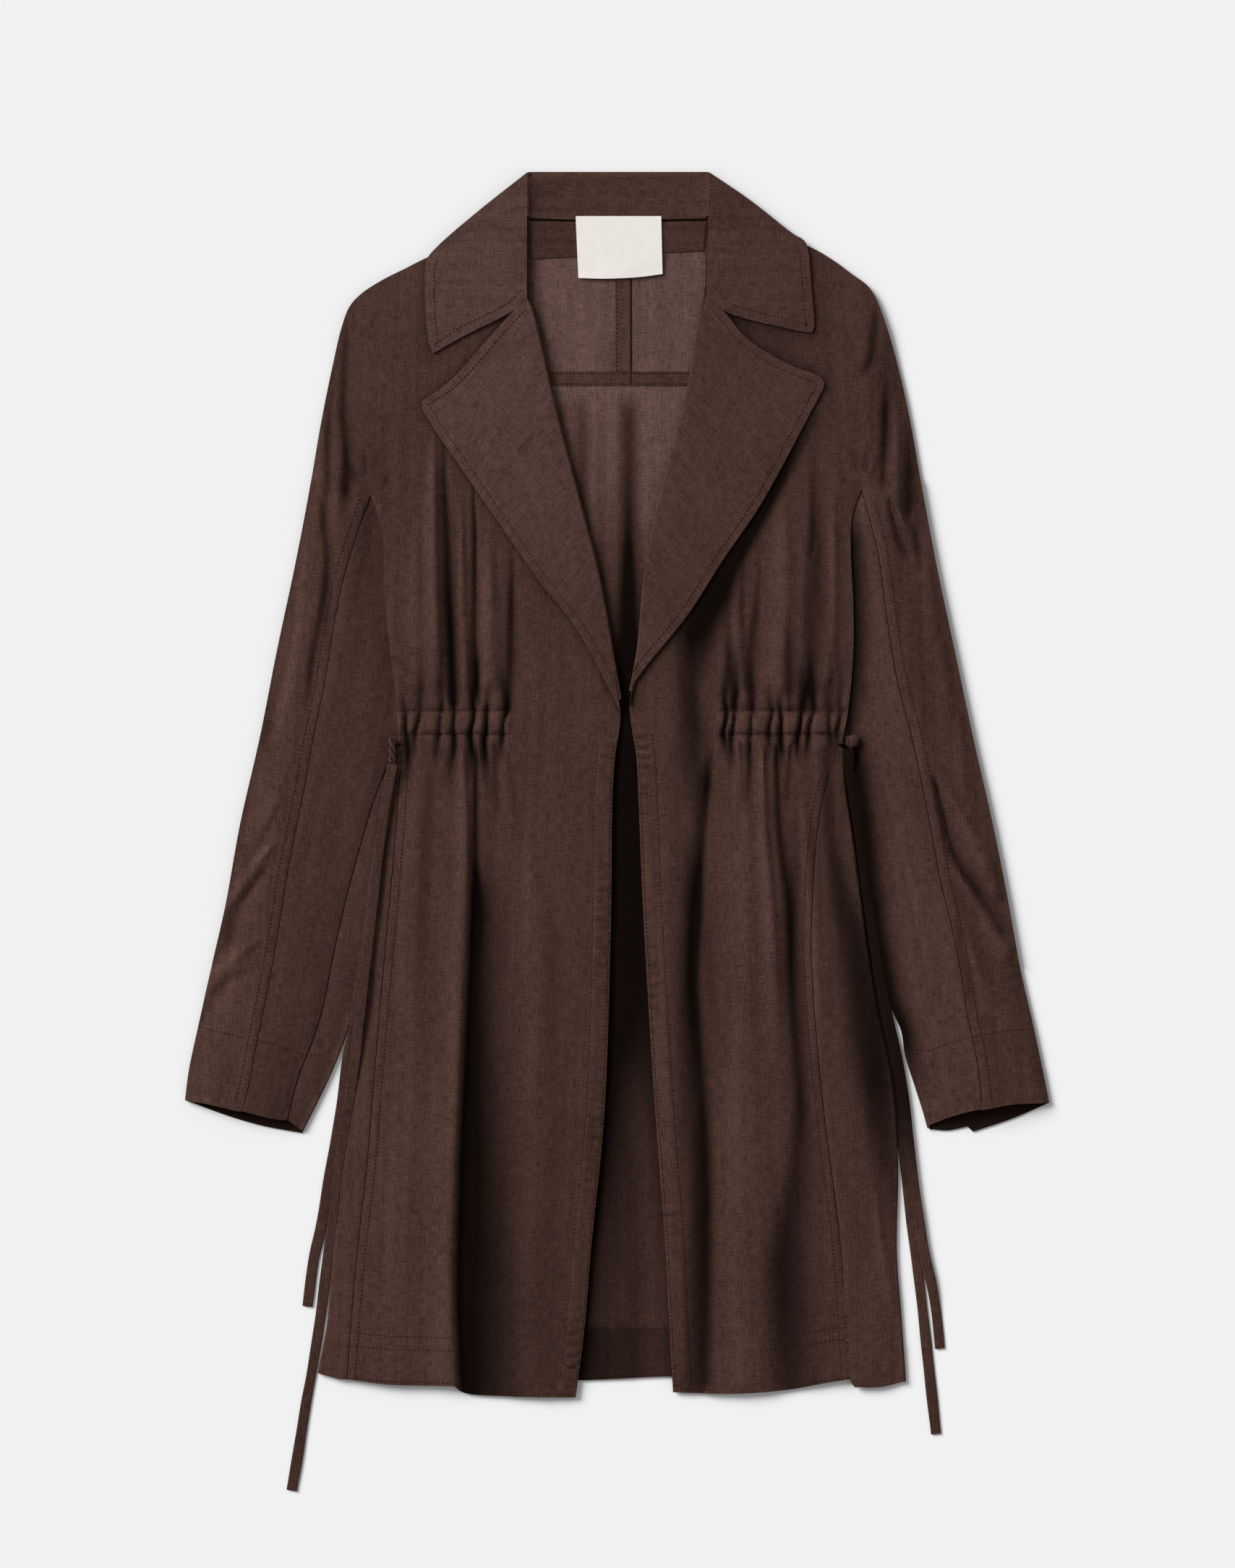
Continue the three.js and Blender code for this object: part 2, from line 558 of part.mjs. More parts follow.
// The stretch of the back sleeve that wraps round the inside fold to the front
function sleeveWrap(side) {
  const s = side.sign;
  const fold = sleeveFold(side);
  const seam = shiftX(side.rearSeam, (-s * GAP) / 2);
  const outline = [...seam, ...[...fold].reverse()];
  const top = (x, y) => underTop(side, x, y);
  const strip = panel(outline, top, (x, y) => top(x, y) - CLOTH);
  const rim = panel(ribbon(fold, s * RIM, 0), top, () => 0);
  return strip.add(rim);
}

// The stretch of the back that wraps round the side of the skirt to the side seam
function skirtWrap(side) {
  const s = side.sign;
  const fold = below(side.side, SIDE_SEAM_TOP_Y - 3);
  const seam = shiftX(side.sideSeam, (s * GAP) / 2);
  const outline = [...fold, ...side.wrapHem, ...[...seam].reverse()];
  const top = (x, y) => frontTop(side, x, y);
  const strip = panel(outline, top, (x, y) => top(x, y) - CLOTH);
  const rim = panel(ribbon(fold, -s * RIM, 0), top, () => 0);
  return strip.add(rim);
}

function backLower() {
  const { left, right } = SIDES;
  const outline = [
    [left.side[0][0], YOKE_SEAM_Y], ...left.side, [-205, -453], [-28, -454], [43, -451], [177, -452],
    ...[...right.side].reverse(), [right.side[0][0], YOKE_SEAM_Y],
  ];
  const linesX = [-240, ...steps(-BACK_FOLD_REACH, BACK_FOLD_REACH, 6.75), 240];
  const linesY = [-480, -300, 0, YOKE_SEAM_Y - 60, YOKE_SEAM_Y - 22, YOKE_SEAM_Y - 4, YOKE_SEAM_Y + 10];
  let back = panel(outline, backTop, () => 0, linesX, linesY);
  back = back.add(skirtWrap(left)).add(skirtWrap(right));
  return back;
}

// Collar: a fall under the back, a band inside the neck and a leaf on each shoulder, folded from one piece

// Cloth that turns over at the roll line is fuller beside it
function coverPanel(side, outline) {
  const bottom = (x, y) => smoothTop(side, x, y) + COVER_GAP;
  const fullness = (x, y) => ROLL.height * Math.exp(-distanceTo(side.opening, x, y) / ROLL.reach);
  const top = (x, y) => bottom(x, y) + CLOTH + fullness(x, y);
  return panel(outline, top, bottom, COVER_LINES_X);
}

function collar() {
  const { left, right } = SIDES;
  const topEdge = [[-67, COLLAR_TOP_Y], [70, COLLAR_TOP_Y]];
  const fall = [...topEdge, [103, 442], [135, 417], [143, 400], [118, 362], [60, 350], [-60, 350], [-118, 362],
    [-141, 396], [-134, 410], [-106, 434]];
  const band = [...topEdge, [68, 429.5], [4, 428], [-66, 429.5]];
  let made = prism(fall, 0, CLOTH);
  made = made.add(prism(band, LAYER, LAYER + CLOTH));
  made = made.add(prism(ribbon(topEdge, 0, -RIM), 0, LAYER + CLOTH));
  for (const side of [left, right]) {
    const s = side.sign;
    const neckX = side.leaf[0][0];
    const roll = ribbon([[neckX, COLLAR_TOP_Y], [neckX, NECK_Y + RIM]], -s * RIM, 0);
    const shoulderRim = ribbon(side.leaf.slice(0, 3), -s * 0.6, -RIM);
    const rimTop = EDGE_TOP + COLLAR_LIFT + COVER_GAP + CLOTH;
    made = made.add(coverPanel(side, side.leaf));
    made = made.add(prism(shoulderRim, 0, rimTop));
    made = made.add(prism(roll, LAYER, rimTop));
  }
  return made;
}

// Felled seam down the middle of the back
function centreBackBand() {
  const inner = CENTRE_BACK_X - GAP;
  const outline = ribbon([[inner, YOKE_SEAM_Y + SEAM_BAND], [inner, FACING_LOW_Y - 1]], -SEAM_BAND, 0);
  const low = (x, y) => BACK_TOP + lift(y) - CLOTH / 2;
  const high = (x, y) => BACK_TOP + lift(y) + SEAM_BAND_RAISE;
  return panel(outline, high, low, [-60, 60], [200, LIFT_START_Y, LIFT_FULL_Y, 470]);
}

// Neck facing and label

const FACING_BOTTOM = BACK_TOP + COLLAR_LIFT + GAP;
const LABEL_BOTTOM = FACING_BOTTOM + TRIM + GAP;

function neckFacing() {
  const outline = [[-65, 426.6], [4, 425.6], [67, 426.6], [66, 405], [-65, 399]];
  return prism(outline, FACING_BOTTOM, FACING_BOTTOM + TRIM);
}

function label() {
  const outline = [[-31, 431], [34, 431], [35, 387], [15, 384.5], [-8, 383.5], [-29, 384]];
  return prism(outline, LABEL_BOTTOM, LABEL_BOTTOM + TRIM);
}

// Ties and knots

// A flat cord: eight points round a thin section, first axis up, second axis across
function tie(route) {
  const section = new THREE.Shape();
  const corner = TIE_THICKNESS * 0.3;
  const half = [TIE_THICKNESS / 2, TIE_WIDTH / 2];
  section.moveTo(half[0], half[1] - corner);
  section.lineTo(half[0] - corner, half[1]);
  section.lineTo(corner - half[0], half[1]);
  section.lineTo(-half[0], half[1] - corner);
  section.lineTo(-half[0], corner - half[1]);
  section.lineTo(corner - half[0], -half[1]);
  section.lineTo(half[0] - corner, -half[1]);
  section.lineTo(half[0], corner - half[1]);
  section.closePath();
  const points = route.map(([x, y, z]) => new THREE.Vector3(x, y, z));
  const path = new THREE.CatmullRomCurve3(points, false, 'centripetal');
  const options = { steps: Math.ceil(path.getLength() / TIE_STEP), extrudePath: path, bevelEnabled: false };
  return toManifold(new THREE.ExtrudeGeometry(section, options));
}

function knot({ centre, half, twist }) {
  const geometry = new THREE.SphereGeometry(1, 14, 8);
  const points = geometry.attributes.position;
  for (let k = 0; k < points.count; k += 1) {
    const [x, y, z] = [points.getX(k), points.getY(k), points.getZ(k)];
    const wrap = 1 - twist * (1 - Math.abs(y)) * Math.cos(2 * Math.atan2(z, x) + 3 * y);
    points.setXYZ(k, centre[0] + x * half[0] * wrap, centre[1] + y * half[1], centre[2] + z * half[2] * wrap);
  }
  return toManifold(geometry);
}

// The coat

const group = new THREE.Group();
group.position.set(CENTRE_X, CENTRE_Y, 0);
group.add(mesh('back_lower', backLower(), COLOURS.back));
for (const [name, side] of Object.entries(SIDES)) {
  const yoke = name === 'left' ? backYoke(side).add(centreBackBand()) : backYoke(side);
  group.add(mesh(`back_yoke_${name}`, yoke, COLOURS.back));
  group.add(mesh(`under_sleeve_${name}`, underSleeve(side), COLOURS.cloth));
  group.add(mesh(`front_${name}`, front(side), COLOURS.cloth));
  group.add(mesh(`lapel_${name}`, coverPanel(side, side.lapel), COLOURS.cloth));
  group.add(mesh(`knot_${name}`, knot(KNOTS[name]), COLOURS.tie));
}
for (const [name, route] of Object.entries(TIES)) {
  group.add(mesh(`tie_${name}`, tie(route), COLOURS.tie));
}
group.add(mesh('collar', collar(), COLOURS.cloth));
group.add(mesh('neck_facing', neckFacing(), COLOURS.cloth));
group.add(mesh('label', label(), COLOURS.label));

export default group;
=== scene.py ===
"""Duster coat in sheer brown voile, laid face up and open on a pale surface.

Sizes in the tables are in millimetres. X runs to the right across the coat, Y from hem to collar, Z up.
"""

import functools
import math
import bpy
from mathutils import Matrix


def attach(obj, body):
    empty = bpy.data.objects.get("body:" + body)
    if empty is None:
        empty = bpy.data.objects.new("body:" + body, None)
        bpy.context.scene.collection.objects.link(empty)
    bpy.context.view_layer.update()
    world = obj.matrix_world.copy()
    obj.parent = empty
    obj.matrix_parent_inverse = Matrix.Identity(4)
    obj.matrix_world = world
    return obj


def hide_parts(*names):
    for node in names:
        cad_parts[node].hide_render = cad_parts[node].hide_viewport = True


bl_info = {
    "name": "Voile duster coat",
    "version": (1, 0, 0),
    "blender": (4, 5, 0),
    "location": "View3D > Sidebar > Coat",
    "description": "Makes the cloth, stitching, label, knots and ties of a laid duster coat",
    "category": "Object",
}

import bpy
import numpy as np
from mathutils import Vector
from mathutils.geometry import delaunay_2d_cdt

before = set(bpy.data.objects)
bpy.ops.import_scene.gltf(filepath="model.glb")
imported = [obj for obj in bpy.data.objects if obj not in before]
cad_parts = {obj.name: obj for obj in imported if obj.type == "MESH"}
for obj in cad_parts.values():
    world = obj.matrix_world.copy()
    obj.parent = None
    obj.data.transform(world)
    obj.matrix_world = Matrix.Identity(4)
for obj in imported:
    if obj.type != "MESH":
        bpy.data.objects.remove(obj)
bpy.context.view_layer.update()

MM = 0.001

# Heights of the laid layers, as in the solids
CLOTH = 1.2
GAP = 0.3
LAYER = CLOTH + GAP
BACK_TOP = CLOTH
EDGE_TOP = BACK_TOP + LAYER + 0.1
BODY_RISE = 3.5
SLEEVE_RISE = 7.2
EDGE_ROLL = 16
OPENING_DROP = 2.2
OPENING_ROLL = 13
HEM_DROP = 1.6
HEM_ROLL = 24
LOWEST_OVER_SLEEVE = EDGE_TOP + LAYER
COLLAR_LIFT = LAYER
LIFT_START_Y = 320
LIFT_FULL_Y = 345
COVER_GAP = 0.5
ROLL_HEIGHT = 1.4
ROLL_REACH = 22
SIDE_ROLL = 2.2

# Levels along the body
NECK_Y = 431.5
COLLAR_TOP_Y = 464
YOKE_SEAM_Y = 302
CENTRE_BACK_X = 11
WAIST_Y = 46
CASING_HALF = 9
GATHER_DEPTH = 4.0
SIDE_SEAM_TOP_Y = 30
HEM_Y = -462
CUFF_Y = -262
UNDERARM_Y = 219
FREE_SLEEVE_Y = -100
BREAK_LEFT_Y = 54
BREAK_RIGHT_Y = 60

# The tables are drawn about the photographed middle, and this moves them over the origin
SHIFT_X = -0.5
SHIFT_Y = 1.5

# Fineness of the cloth: spacing across, along, and along inside the gathered waist
STEP_ACROSS = 2.1
STEP_ALONG = 2.9
STEP_WAIST = 1.5
STEP_HIDDEN = 6.0
STEPS_BACK = (3.2, 4.0)
STEPS_YOKE = (4.0, 5.0)

# Distance from point to point of a curve: edges, outlines, folds, turned edges, seams, stitches, ties
EDGE_STEP = 6.0
OUTLINE_STEP = 2.2
FOLD_STEP = 14.0
TURN_STEP = 4.0
ROW_STEP = 3.0
STITCH_STEP = 2.0
TIE_STEP = 3.0

# Angles in degrees from which an outline keeps a corner and a surface a sharp edge
CORNER_ANGLE = 38
SHARP_ANGLE = 40

# What is sewn: the front facing, the hem, the cuff, the band above the yoke seam and the felled seam
FACING_WIDTH = 14
HEM_DEPTH = 36
CUFF_DEPTH = 57
CUFF_ROW_Y = -185
YOKE_BAND_WIDTH = 11
YOKE_BAND_REACH = 78
FELLED_WIDTH = 12

# How far the middle of a stitch lies above the cloth
STITCH_LIFT = 0.25

# The pleat of back cloth beside the right sleeve, and the value that paints the colour of deepest shade
PLEAT_THICKNESS = 0.15
DEEP = 2.0

SIDES = {
    "left": {
        "sign": -1,
        # x, y from the neck point over the shoulder and down the outer sleeve
        "outer": [(-66, 431.5), (-143, 400), (-161, 391), (-177, 383), (-194, 372), (-203, 362),
            (-209, 346), (-215, 321), (-224, 277), (-234, 219), (-244, 167), (-258, 101), (-271, 35),
            (-286, -31), (-297, -92), (-307, -136), (-318, -185), (-325, -218), (-328, -241)],
        # x, y from the underarm down the body and the skirt
        "side": [(-187, 219), (-181, 203), (-177, 179), (-176, 137), (-171, 93), (-167, 55), (-166, 31),
            (-167, -4), (-172, -37), (-185, -119), (-189, -174), (-196, -229), (-206, -290), (-213, -356),
            (-218, -411), (-225, -449)],
        # x, y of the side seam that shows on the skirt
        "side_seam": [(-163, 29), (-170, -64), (-180, -174), (-189, -284), (-198, -367), (-205, -453)],
        # x, y of the front sleeve seam from the underarm to the cuff
        "seam": [(-187, 219), (-199, 183), (-208, 153), (-215, 117), (-221, 79), (-229, 40), (-238, -9),
            (-249, -64), (-257, -114), (-265, -158), (-274, -202), (-279, -229), (-284, -249)],
        # x, y of the rear sleeve seam, where the back of the sleeve wraps round to the front
        "rear_seam": [(-168, 28), (-183, -9), (-194, -45), (-205, -86), (-215, -130), (-224, -174),
            (-232, -199), (-242, -224), (-250, -256)],
        # x, y of the fold along the inside of the sleeve, hidden under the body at its top
        "inner": [(-187, 219), (-164, 178), (-150, 128), (-150, 70), (-160, 40), (-164, 18), (-169, -31),
            (-178, -86), (-189, -136), (-203, -182), (-211, -204), (-218, -221), (-227, -240), (-239, -264)],
        "cuff_front": [(-328, -241), (-309, -244), (-287, -249), (-260, -255), (-239, -263)],
        "cuff_back": [(-328, -242), (-298, -252), (-271, -260), (-239, -266)],
        # x, y from the neck down the roll line and the front edge
        "opening": [(-66, 431.5), (-67, 387), (-65, 362), (-59, 337), (-48, 288), (-30, 219), (-15, 161),
            (-4, 101), (3, 54), (2, 40), (-1, 21), (-3, -9), (-4, -92), (-8, -229), (-12, -284),
            (-19, -350), (-24, -411), (-31, -467)],
        "hem": [(-205, -454), (-172, -457), (-123, -458), (-117, -463), (-84, -466), (-31, -467)],
        "wrap_hem": [(-210, -453)],
        "leaf": [(-68, 464), (-106, 434), (-136, 408), (-143, 400), (-145, 395), (-145, 359), (-142, 332),
            (-139, 326.5), (-117, 339), (-78, 359.3), (-68, 369.3)],
        "lapel": [(-68, 369), (-78, 359), (-106, 328), (-125, 307), (-148, 290), (-148, 286), (-139, 270),
            (-117, 238), (-84, 190), (-59, 154), (-29, 115), (3, 54), (-4, 101), (-15, 161), (-30, 219),
            (-48, 288), (-59, 337), (-65, 362)],
        # x of each gather of the waist casing, and how far it runs up and down
        "gathers": [(-160, 30, 62), (-150.5, 62, 34), (-134, 70, 46), (-123.5, 44, 66), (-109, 76, 52),
            (-98.5, 34, 60), (-85.5, 60, 42)],
    },
    "right": {
        "sign": 1,
        "outer": [(69, 431.5), (144, 409), (164, 398), (179, 387), (191, 378), (197, 369), (203, 354),
            (213, 321), (223, 277), (232, 226), (243, 167), (257, 101), (271, 35), (286, -31), (297, -86),
            (307, -141), (317, -185), (324, -218), (329, -243)],
        "side": [(186, 224), (179, 203), (178, 178), (180, 137), (180, 101), (176, 55), (171, 31),
            (172, -4), (177, -37), (188, -119), (197, -174), (208, -229), (212, -290), (211, -356),
            (215, -411), (218, -455)],
        "side_seam": [(168, 29), (154, -26), (148, -108), (149, -153), (157, -245), (170, -351), (177, -453)],
        "seam": [(186, 224), (199, 172), (205, 128), (213, 79), (223, 40), (229, 13), (240, -42),
            (246, -75), (253, -103), (262, -147), (266, -174), (274, -213), (278, -248)],
        "rear_seam": None,
        "inner": [(186, 224), (164, 178), (152, 128), (158, 80), (175, 46), (186, -9), (194, -81),
            (203, -136), (210, -169), (218, -188), (221, -207), (228, -229), (235, -251), (238, -262)],
        "cuff_front": [(329, -243), (301, -244), (274, -248), (252, -254), (238, -260)],
        "cuff_back": [(329, -246), (301, -255), (271, -265), (267, -261), (252, -264), (238, -263)],
        "opening": [(69, 431.5), (68, 398), (67, 373), (62, 343), (53, 288), (36, 226), (23, 161),
            (17, 101), (10, 60), (11, 46), (15, 21), (17, -20), (20, -92), (28, -229), (32, -284),
            (37, -350), (40, -411), (43, -463)],
        "hem": [(177, -454), (158, -456), (131, -461), (87, -464), (43, -463)],
        "wrap_hem": [(201, -459), (181, -459)],
        "leaf": [(71, 464), (103, 442), (135, 417), (142, 413), (145, 408), (148, 376), (150, 347),
            (148, 342), (131, 345), (81, 359.3), (68, 373.3)],
        "lapel": [(68, 373), (81, 359), (100, 337), (131, 318), (154, 309), (158, 304), (157, 300),
            (146, 279), (109, 211), (81, 170), (54, 128), (21, 87), (13, 75), (10, 60), (17, 101),
            (23, 161), (36, 226), (53, 288), (62, 343)],
        "gathers": [(83, 56, 30), (89.5, 82, 48), (102.5, 84, 38), (117, 40, 34), (125.5, 30, 44),
            (140, 50, 40), (147.5, 70, 40), (162, 40, 30), (169.5, 56, 36)],
    },
}

# Soft vertical folds of the lower back that show between the fronts: x, half width and height
BACK_FOLDS = [(-44, 9, 0.6), (-28, 9, 0.9), (-8, 8, 0.5), (8, 9, 0.9), (26, 8, 0.6), (42, 9, 0.9)]
BACK_FOLD_REACH = 54

# How dark the lower back is painted, where one sheer layer is 0, close cloth 1 and deep shade 2, taking in
# both doubled cloth and painted shade in the gap between the fronts: y, darkness
BACK_SHADE = [(-460, 1.7), (-416, 1.7), (-411, 1.48), (-350, 1.58), (-290, 1.68), (-230, 1.8), (-170, 1.95),
              (60, 2.0), (100, 1.75), (150, 1.1), (200, 0.5), (250, 0.2), (302, 0.05)]
# Painted shade in its folds below the yoke seam: x, half width and darkness
BACK_FOLD_SHADE = [(-42, 9, 0.6), (-27, 6, 0.9), (-11, 4, 0.45), (9, 7, 1.35), (26, 8, -0.2)]

# Folds of the fronts: their line, width to the left, width to the right, height, sharpness, and how
# far they fade in at the start and out at the end
FOLDS = {
    "left": [
        ([(-131, 290), (-130.5, 224), (-128.5, 180), (-127.5, 141), (-126, 110), (-124, 56)], 3, 6, -3.6, 1.7,
         90, 6),
        ([(-138, 290), (-138, 180), (-137, 128), (-135, 66)], 8, 3, 3.0, 2.0, 80, 14),
        ([(-109, 250), (-107.5, 196), (-107, 141), (-107, 96), (-104, 56)], 2.4, 3.4, -3.2, 1.7, 60, 6),
        ([(-78, 196), (-79.5, 136), (-79.5, 104), (-80.5, 78), (-83.5, 46)], 3.0, 6, -3.2, 1.7, 60, 12),
        ([(-152, 220), (-153, 120), (-152, 62)], 5, 7, 2.0, 2.0, 60, 16),
        ([(-156, 120), (-155, 90), (-154, 56)], 4, 4, -1.0, 1.6, 50, 6),
        ([(-118, 230), (-116.5, 120), (-114, 66)], 4, 3, 2.4, 2.0, 60, 14),
        ([(-97, 210), (-96, 120), (-96, 66)], 8, 6, 2.8, 2.0, 60, 14),
        ([(-106.5, 34), (-107, -28), (-108, -90), (-110, -140)], 2.6, 4.5, -3.2, 1.6, 16, 60),
        ([(-108, -50), (-110, -110), (-114, -207), (-117, -270), (-119, -335), (-120, -390), (-117, -460)],
         2.6, 38, -3.4, 1.5, 50, 0),
        ([(-117, 34), (-114, -40), (-118, -143), (-123, -262), (-127, -370), (-125, -460)], 15, 5, 2.6, 2.0,
         24, 0),
        ([(-92, 34), (-91, 0), (-88, -34)], 4, 4, -1.9, 1.6, 6, 30),
        ([(-84, 30), (-76, -10), (-72, -60)], 5, 5, -1.0, 1.7, 10, 50),
        ([(-150, 12), (-157, -180), (-168, -450)], 15, 15, 1.4, 2.0, 40, 0),
        ([(-140, 20), (-143, -60), (-150, -200)], 7, 7, -0.9, 1.8, 20, 90),
        ([(-66, -20), (-62, -200), (-62, -450)], 14, 22, 1.7, 2.0, 80, 0),
        ([(-48, -60), (-46, -220), (-50, -450)], 10, 12, -0.6, 2.0, 80, 0),
        ([(-205, 356), (-207, 277), (-203, 240), (-206, 200)], 3, 6, -3.2, 1.6, 24, 30),
        ([(-213, 330), (-219, 262), (-218, 226), (-224, 186), (-226, 176)], 2.6, 6, -2.94, 1.6, 60, 30),
        ([(-205, 260), (-206, 236), (-205, 212)], 2, 3, -1.76, 1.6, 16, 16),
        ([(-213, 262), (-213, 226), (-215, 190)], 4, 4, 1.86, 2.0, 40, 20),
        ([(-226, 226), (-219, 168), (-223, 128), (-229, 100), (-235, 46)], 3, 8, -3.14, 1.6, 30, 40),
        ([(-236, 220), (-236, 160), (-243, 100), (-256, 30)], 6, 5, 1.12, 2.0, 40, 40),
        ([(-243, 152), (-248, 101), (-262, 50), (-270, 10)], 3, 5, -1.12, 1.5, 26, 40),
        ([(-252, -12), (-265, -37), (-276, -59), (-288, -80)], 4, 4, -1.4, 1.6, 16, 12),
        ([(-256, -42), (-276, -64), (-290, -86), (-302, -101)], 5, 5, 2.1, 2.0, 14, 8),
        ([(-262, -60), (-279, -83), (-292, -105), (-297, -136)], 6, 6, -2.52, 1.7, 12, 20),
        ([(-266, -114), (-287, -130), (-304, -147), (-319, -172)], 6, 6, 1.82, 2.0, 14, 10),
        ([(-270, -142), (-292, -149), (-309, -166), (-321, -188)], 5, 5, -1.68, 1.7, 12, 10),
        ([(-246, 30), (-258, -10), (-264, -36)], 6, 6, 0.84, 2.0, 30, 16),
    ],
    "right": [
        ([(85, 140), (87, 90), (89, 52)], 3, 7, -2.4, 1.7, 60, 6),
        ([(109, 190), (108, 141), (105, 113), (102, 86), (102, 52)], 3, 6, -2.0, 1.7, 60, 6),
        ([(94, 190), (93, 110), (95, 66)], 5, 3, 2.2, 2.0, 60, 14),
        ([(131, 150), (132, 76), (133, 50)], 3, 8, -2.4, 1.7, 60, 6),
        ([(150, 270), (150, 190), (148, 140), (145, 50)], 4, 10, -3.0, 1.8, 90, 8),
        ([(163, 104), (164, 70), (165, 48)], 3, 3, -1.6, 1.6, 20, 6),
        ([(128, 230), (126, 110), (122, 62)], 10, 8, 2.4, 2.0, 60, 14),
        ([(165, 240), (165, 150), (162, 70)], 8, 4, 2.6, 2.0, 70, 14),
        ([(73, 30), (66, -40), (62, -95), (59, -146), (63, -201), (66, -257), (69, -311), (69, -366),
          (67, -455)], 14, 7, -2.5, 1.6, 30, 0),
        ([(42, -20), (36, -120), (42, -260), (52, -440)], 9, 10, 0.8, 2.0, 60, 0),
        ([(121, 34), (124, -37), (131, -92), (133, -146), (137, -201), (140, -257), (137, -290)], 4, 9, -2.6,
         1.6, 10, 60),
        ([(111, 34), (113, -37), (118, -100), (124, -240)], 8, 4, 2.6, 2.0, 16, 90),
        ([(102, 34), (102, 10), (100, -40)], 3, 4, -2.4, 1.7, 6, 50),
        ([(92, 36), (93, 10), (92, -30)], 4, 3, 1.8, 2.0, 8, 30),
        ([(133, 34), (131, 0), (129, -30)], 2.4, 4, -2.2, 1.7, 6, 30),
        ([(141, 0), (148, -95), (160, -220)], 7, 9, 2.2, 2.0, 40, 80),
        ([(140, -220), (138, -290), (130, -336), (126, -366), (127, -420), (130, -456)], 11, 22, -2.2, 1.8,
         70, 0),
        ([(100, 20), (98, -150), (98, -450)], 16, 14, 1.9, 2.0, 50, 0),
        ([(193, -287), (199, -333), (203, -361), (213, -410)], 4, 4, 1.3, 1.8, 30, 20),
        ([(198, 368), (196, 341), (193, 319), (184, 303)], 3, 5, -2.6, 1.5, 14, 16),
        ([(205, 318), (205, 270), (203, 217)], 3, 4, -3.0, 1.6, 40, 14),
        ([(213, 300), (213, 250), (212, 205)], 5, 4, 1.9, 2.0, 40, 16),
        ([(222, 292), (223, 250), (221.5, 194)], 2.6, 5, -3.2, 1.6, 40, 16),
        ([(206, 222), (211, 198), (218, 178), (226, 166)], 3, 3.4, -2.8, 1.6, 10, 14),
        ([(212, 216), (218, 196), (225, 184)], 3, 3, 1.7, 2.0, 10, 14),
        ([(226, 200), (229, 180), (233, 158)], 3, 6, -2.6, 1.6, 16, 16),
        ([(236, 210), (238, 150), (246, 90), (258, 30)], 7, 6, 0.98, 2.0, 40, 60),
        ([(234, 96), (246, 112), (258, 120)], 5, 5, -0.7, 1.8, 14, 12),
        ([(240, 10), (249, -26), (257, -53), (271, -75), (293, -108), (301, -124)], 5, 5, -3.72, 1.7, 12, 16),
        ([(246, 4), (263, -26), (276, -53), (294, -92)], 6, 6, 2.55, 2.0, 20, 14),
        ([(253, -58), (271, -86), (290, -116), (302, -138)], 6, 6, 2.94, 2.0, 16, 12),
        ([(264, -106), (275, -146), (286, -170), (302, -196)], 6, 6, 1.33, 2.0, 18, 14),
        ([(259, -100), (266, -140), (276, -172)], 5, 5, -1.4, 1.7, 16, 16),
        ([(226, 80), (231, 30), (236, -20)], 6, 6, 0.63, 2.0, 30, 30),
    ],
}

# Painted shade in hollows, darker than their relief alone: x, y, half width, half length, angle in degrees
# and darkness
SHADED_HOLLOWS = {
    "left": [(-126, 110, 8, 60, 2, 0.35), (-100, -60, 10, 60, 0, 0.25), (-97, -330, 20, 160, 3, 0.15),
             (-72, -400, 30, 80, 0, 0.16), (-206, 270, 9, 60, 4, 0.2), (-224, 160, 9, 50, 4, 0.15),
             (-262, 20, 6, 60, 12, 0.15), (-292, -112, 10, 26, 40, 0.18)],
    "right": [(158, 140, 5, 80, 2, 0.35), (60, -90, 13, 60, 8, 0.35), (54, -170, 9, 90, -2, 0.35),
              (63, -330, 10, 130, -2, 0.25), (136, -80, 8, 90, -5, 0.3), (134, -380, 20, 70, 10, 0.2),
              (204, 290, 9, 60, -2, 0.4), (222, 215, 9, 50, -4, 0.4), (284, -70, 11, 40, -38, 0.2)],
}

# Long bands of shade: under the edge of the right lapel, and down the right side of the skirt, each as
# y, x, half width and darkness from the low end up
SHADE_BANDS = {
    "left": [],
    "right": [
        [(-30, 60, 13, 0.0), (0, 60, 13, 0.45), (25, 58, 14, 0.6), (47, 57, 11, 0.75), (69, 55, 10, 0.75),
         (86, 57, 13, 0.75), (113, 62, 16, 0.95), (141, 77, 15, 0.95), (168, 90, 9, 0.95), (196, 106, 8, 0.8),
         (224, 121, 7, 0.8), (262, 142, 5, 0.4), (290, 158, 4, 0.0)],
        [(-340, 212, 8, 0.0), (-282, 203, 10, 0.6), (-227, 197, 17, 0.9), (-172, 191, 19, 0.85),
         (-117, 180, 15, 0.8), (-90, 171, 11, 0.75), (-62, 166, 8, 0.7), (-35, 161, 6, 0.6),
         (20, 160, 5, 0.55), (40, 160, 5, 0.0)],
    ],
}

# Rows of stitches along the hems that show: from x, to x, height above the hem
HEM_ROWS = {
    "left": [(-204, -125, 37), (-204, -125, 27), (-204, -126, 2.5), (-62, -34, 2.5)],
    "right": [(114, 171, 32), (142, 174, 41), (142, 175, 2.5), (46, 70, 2.5)],
}

# Two short rows that hold the top of the left side seam's vent
BAR_TACK_YS = (-144.6, -145.9)

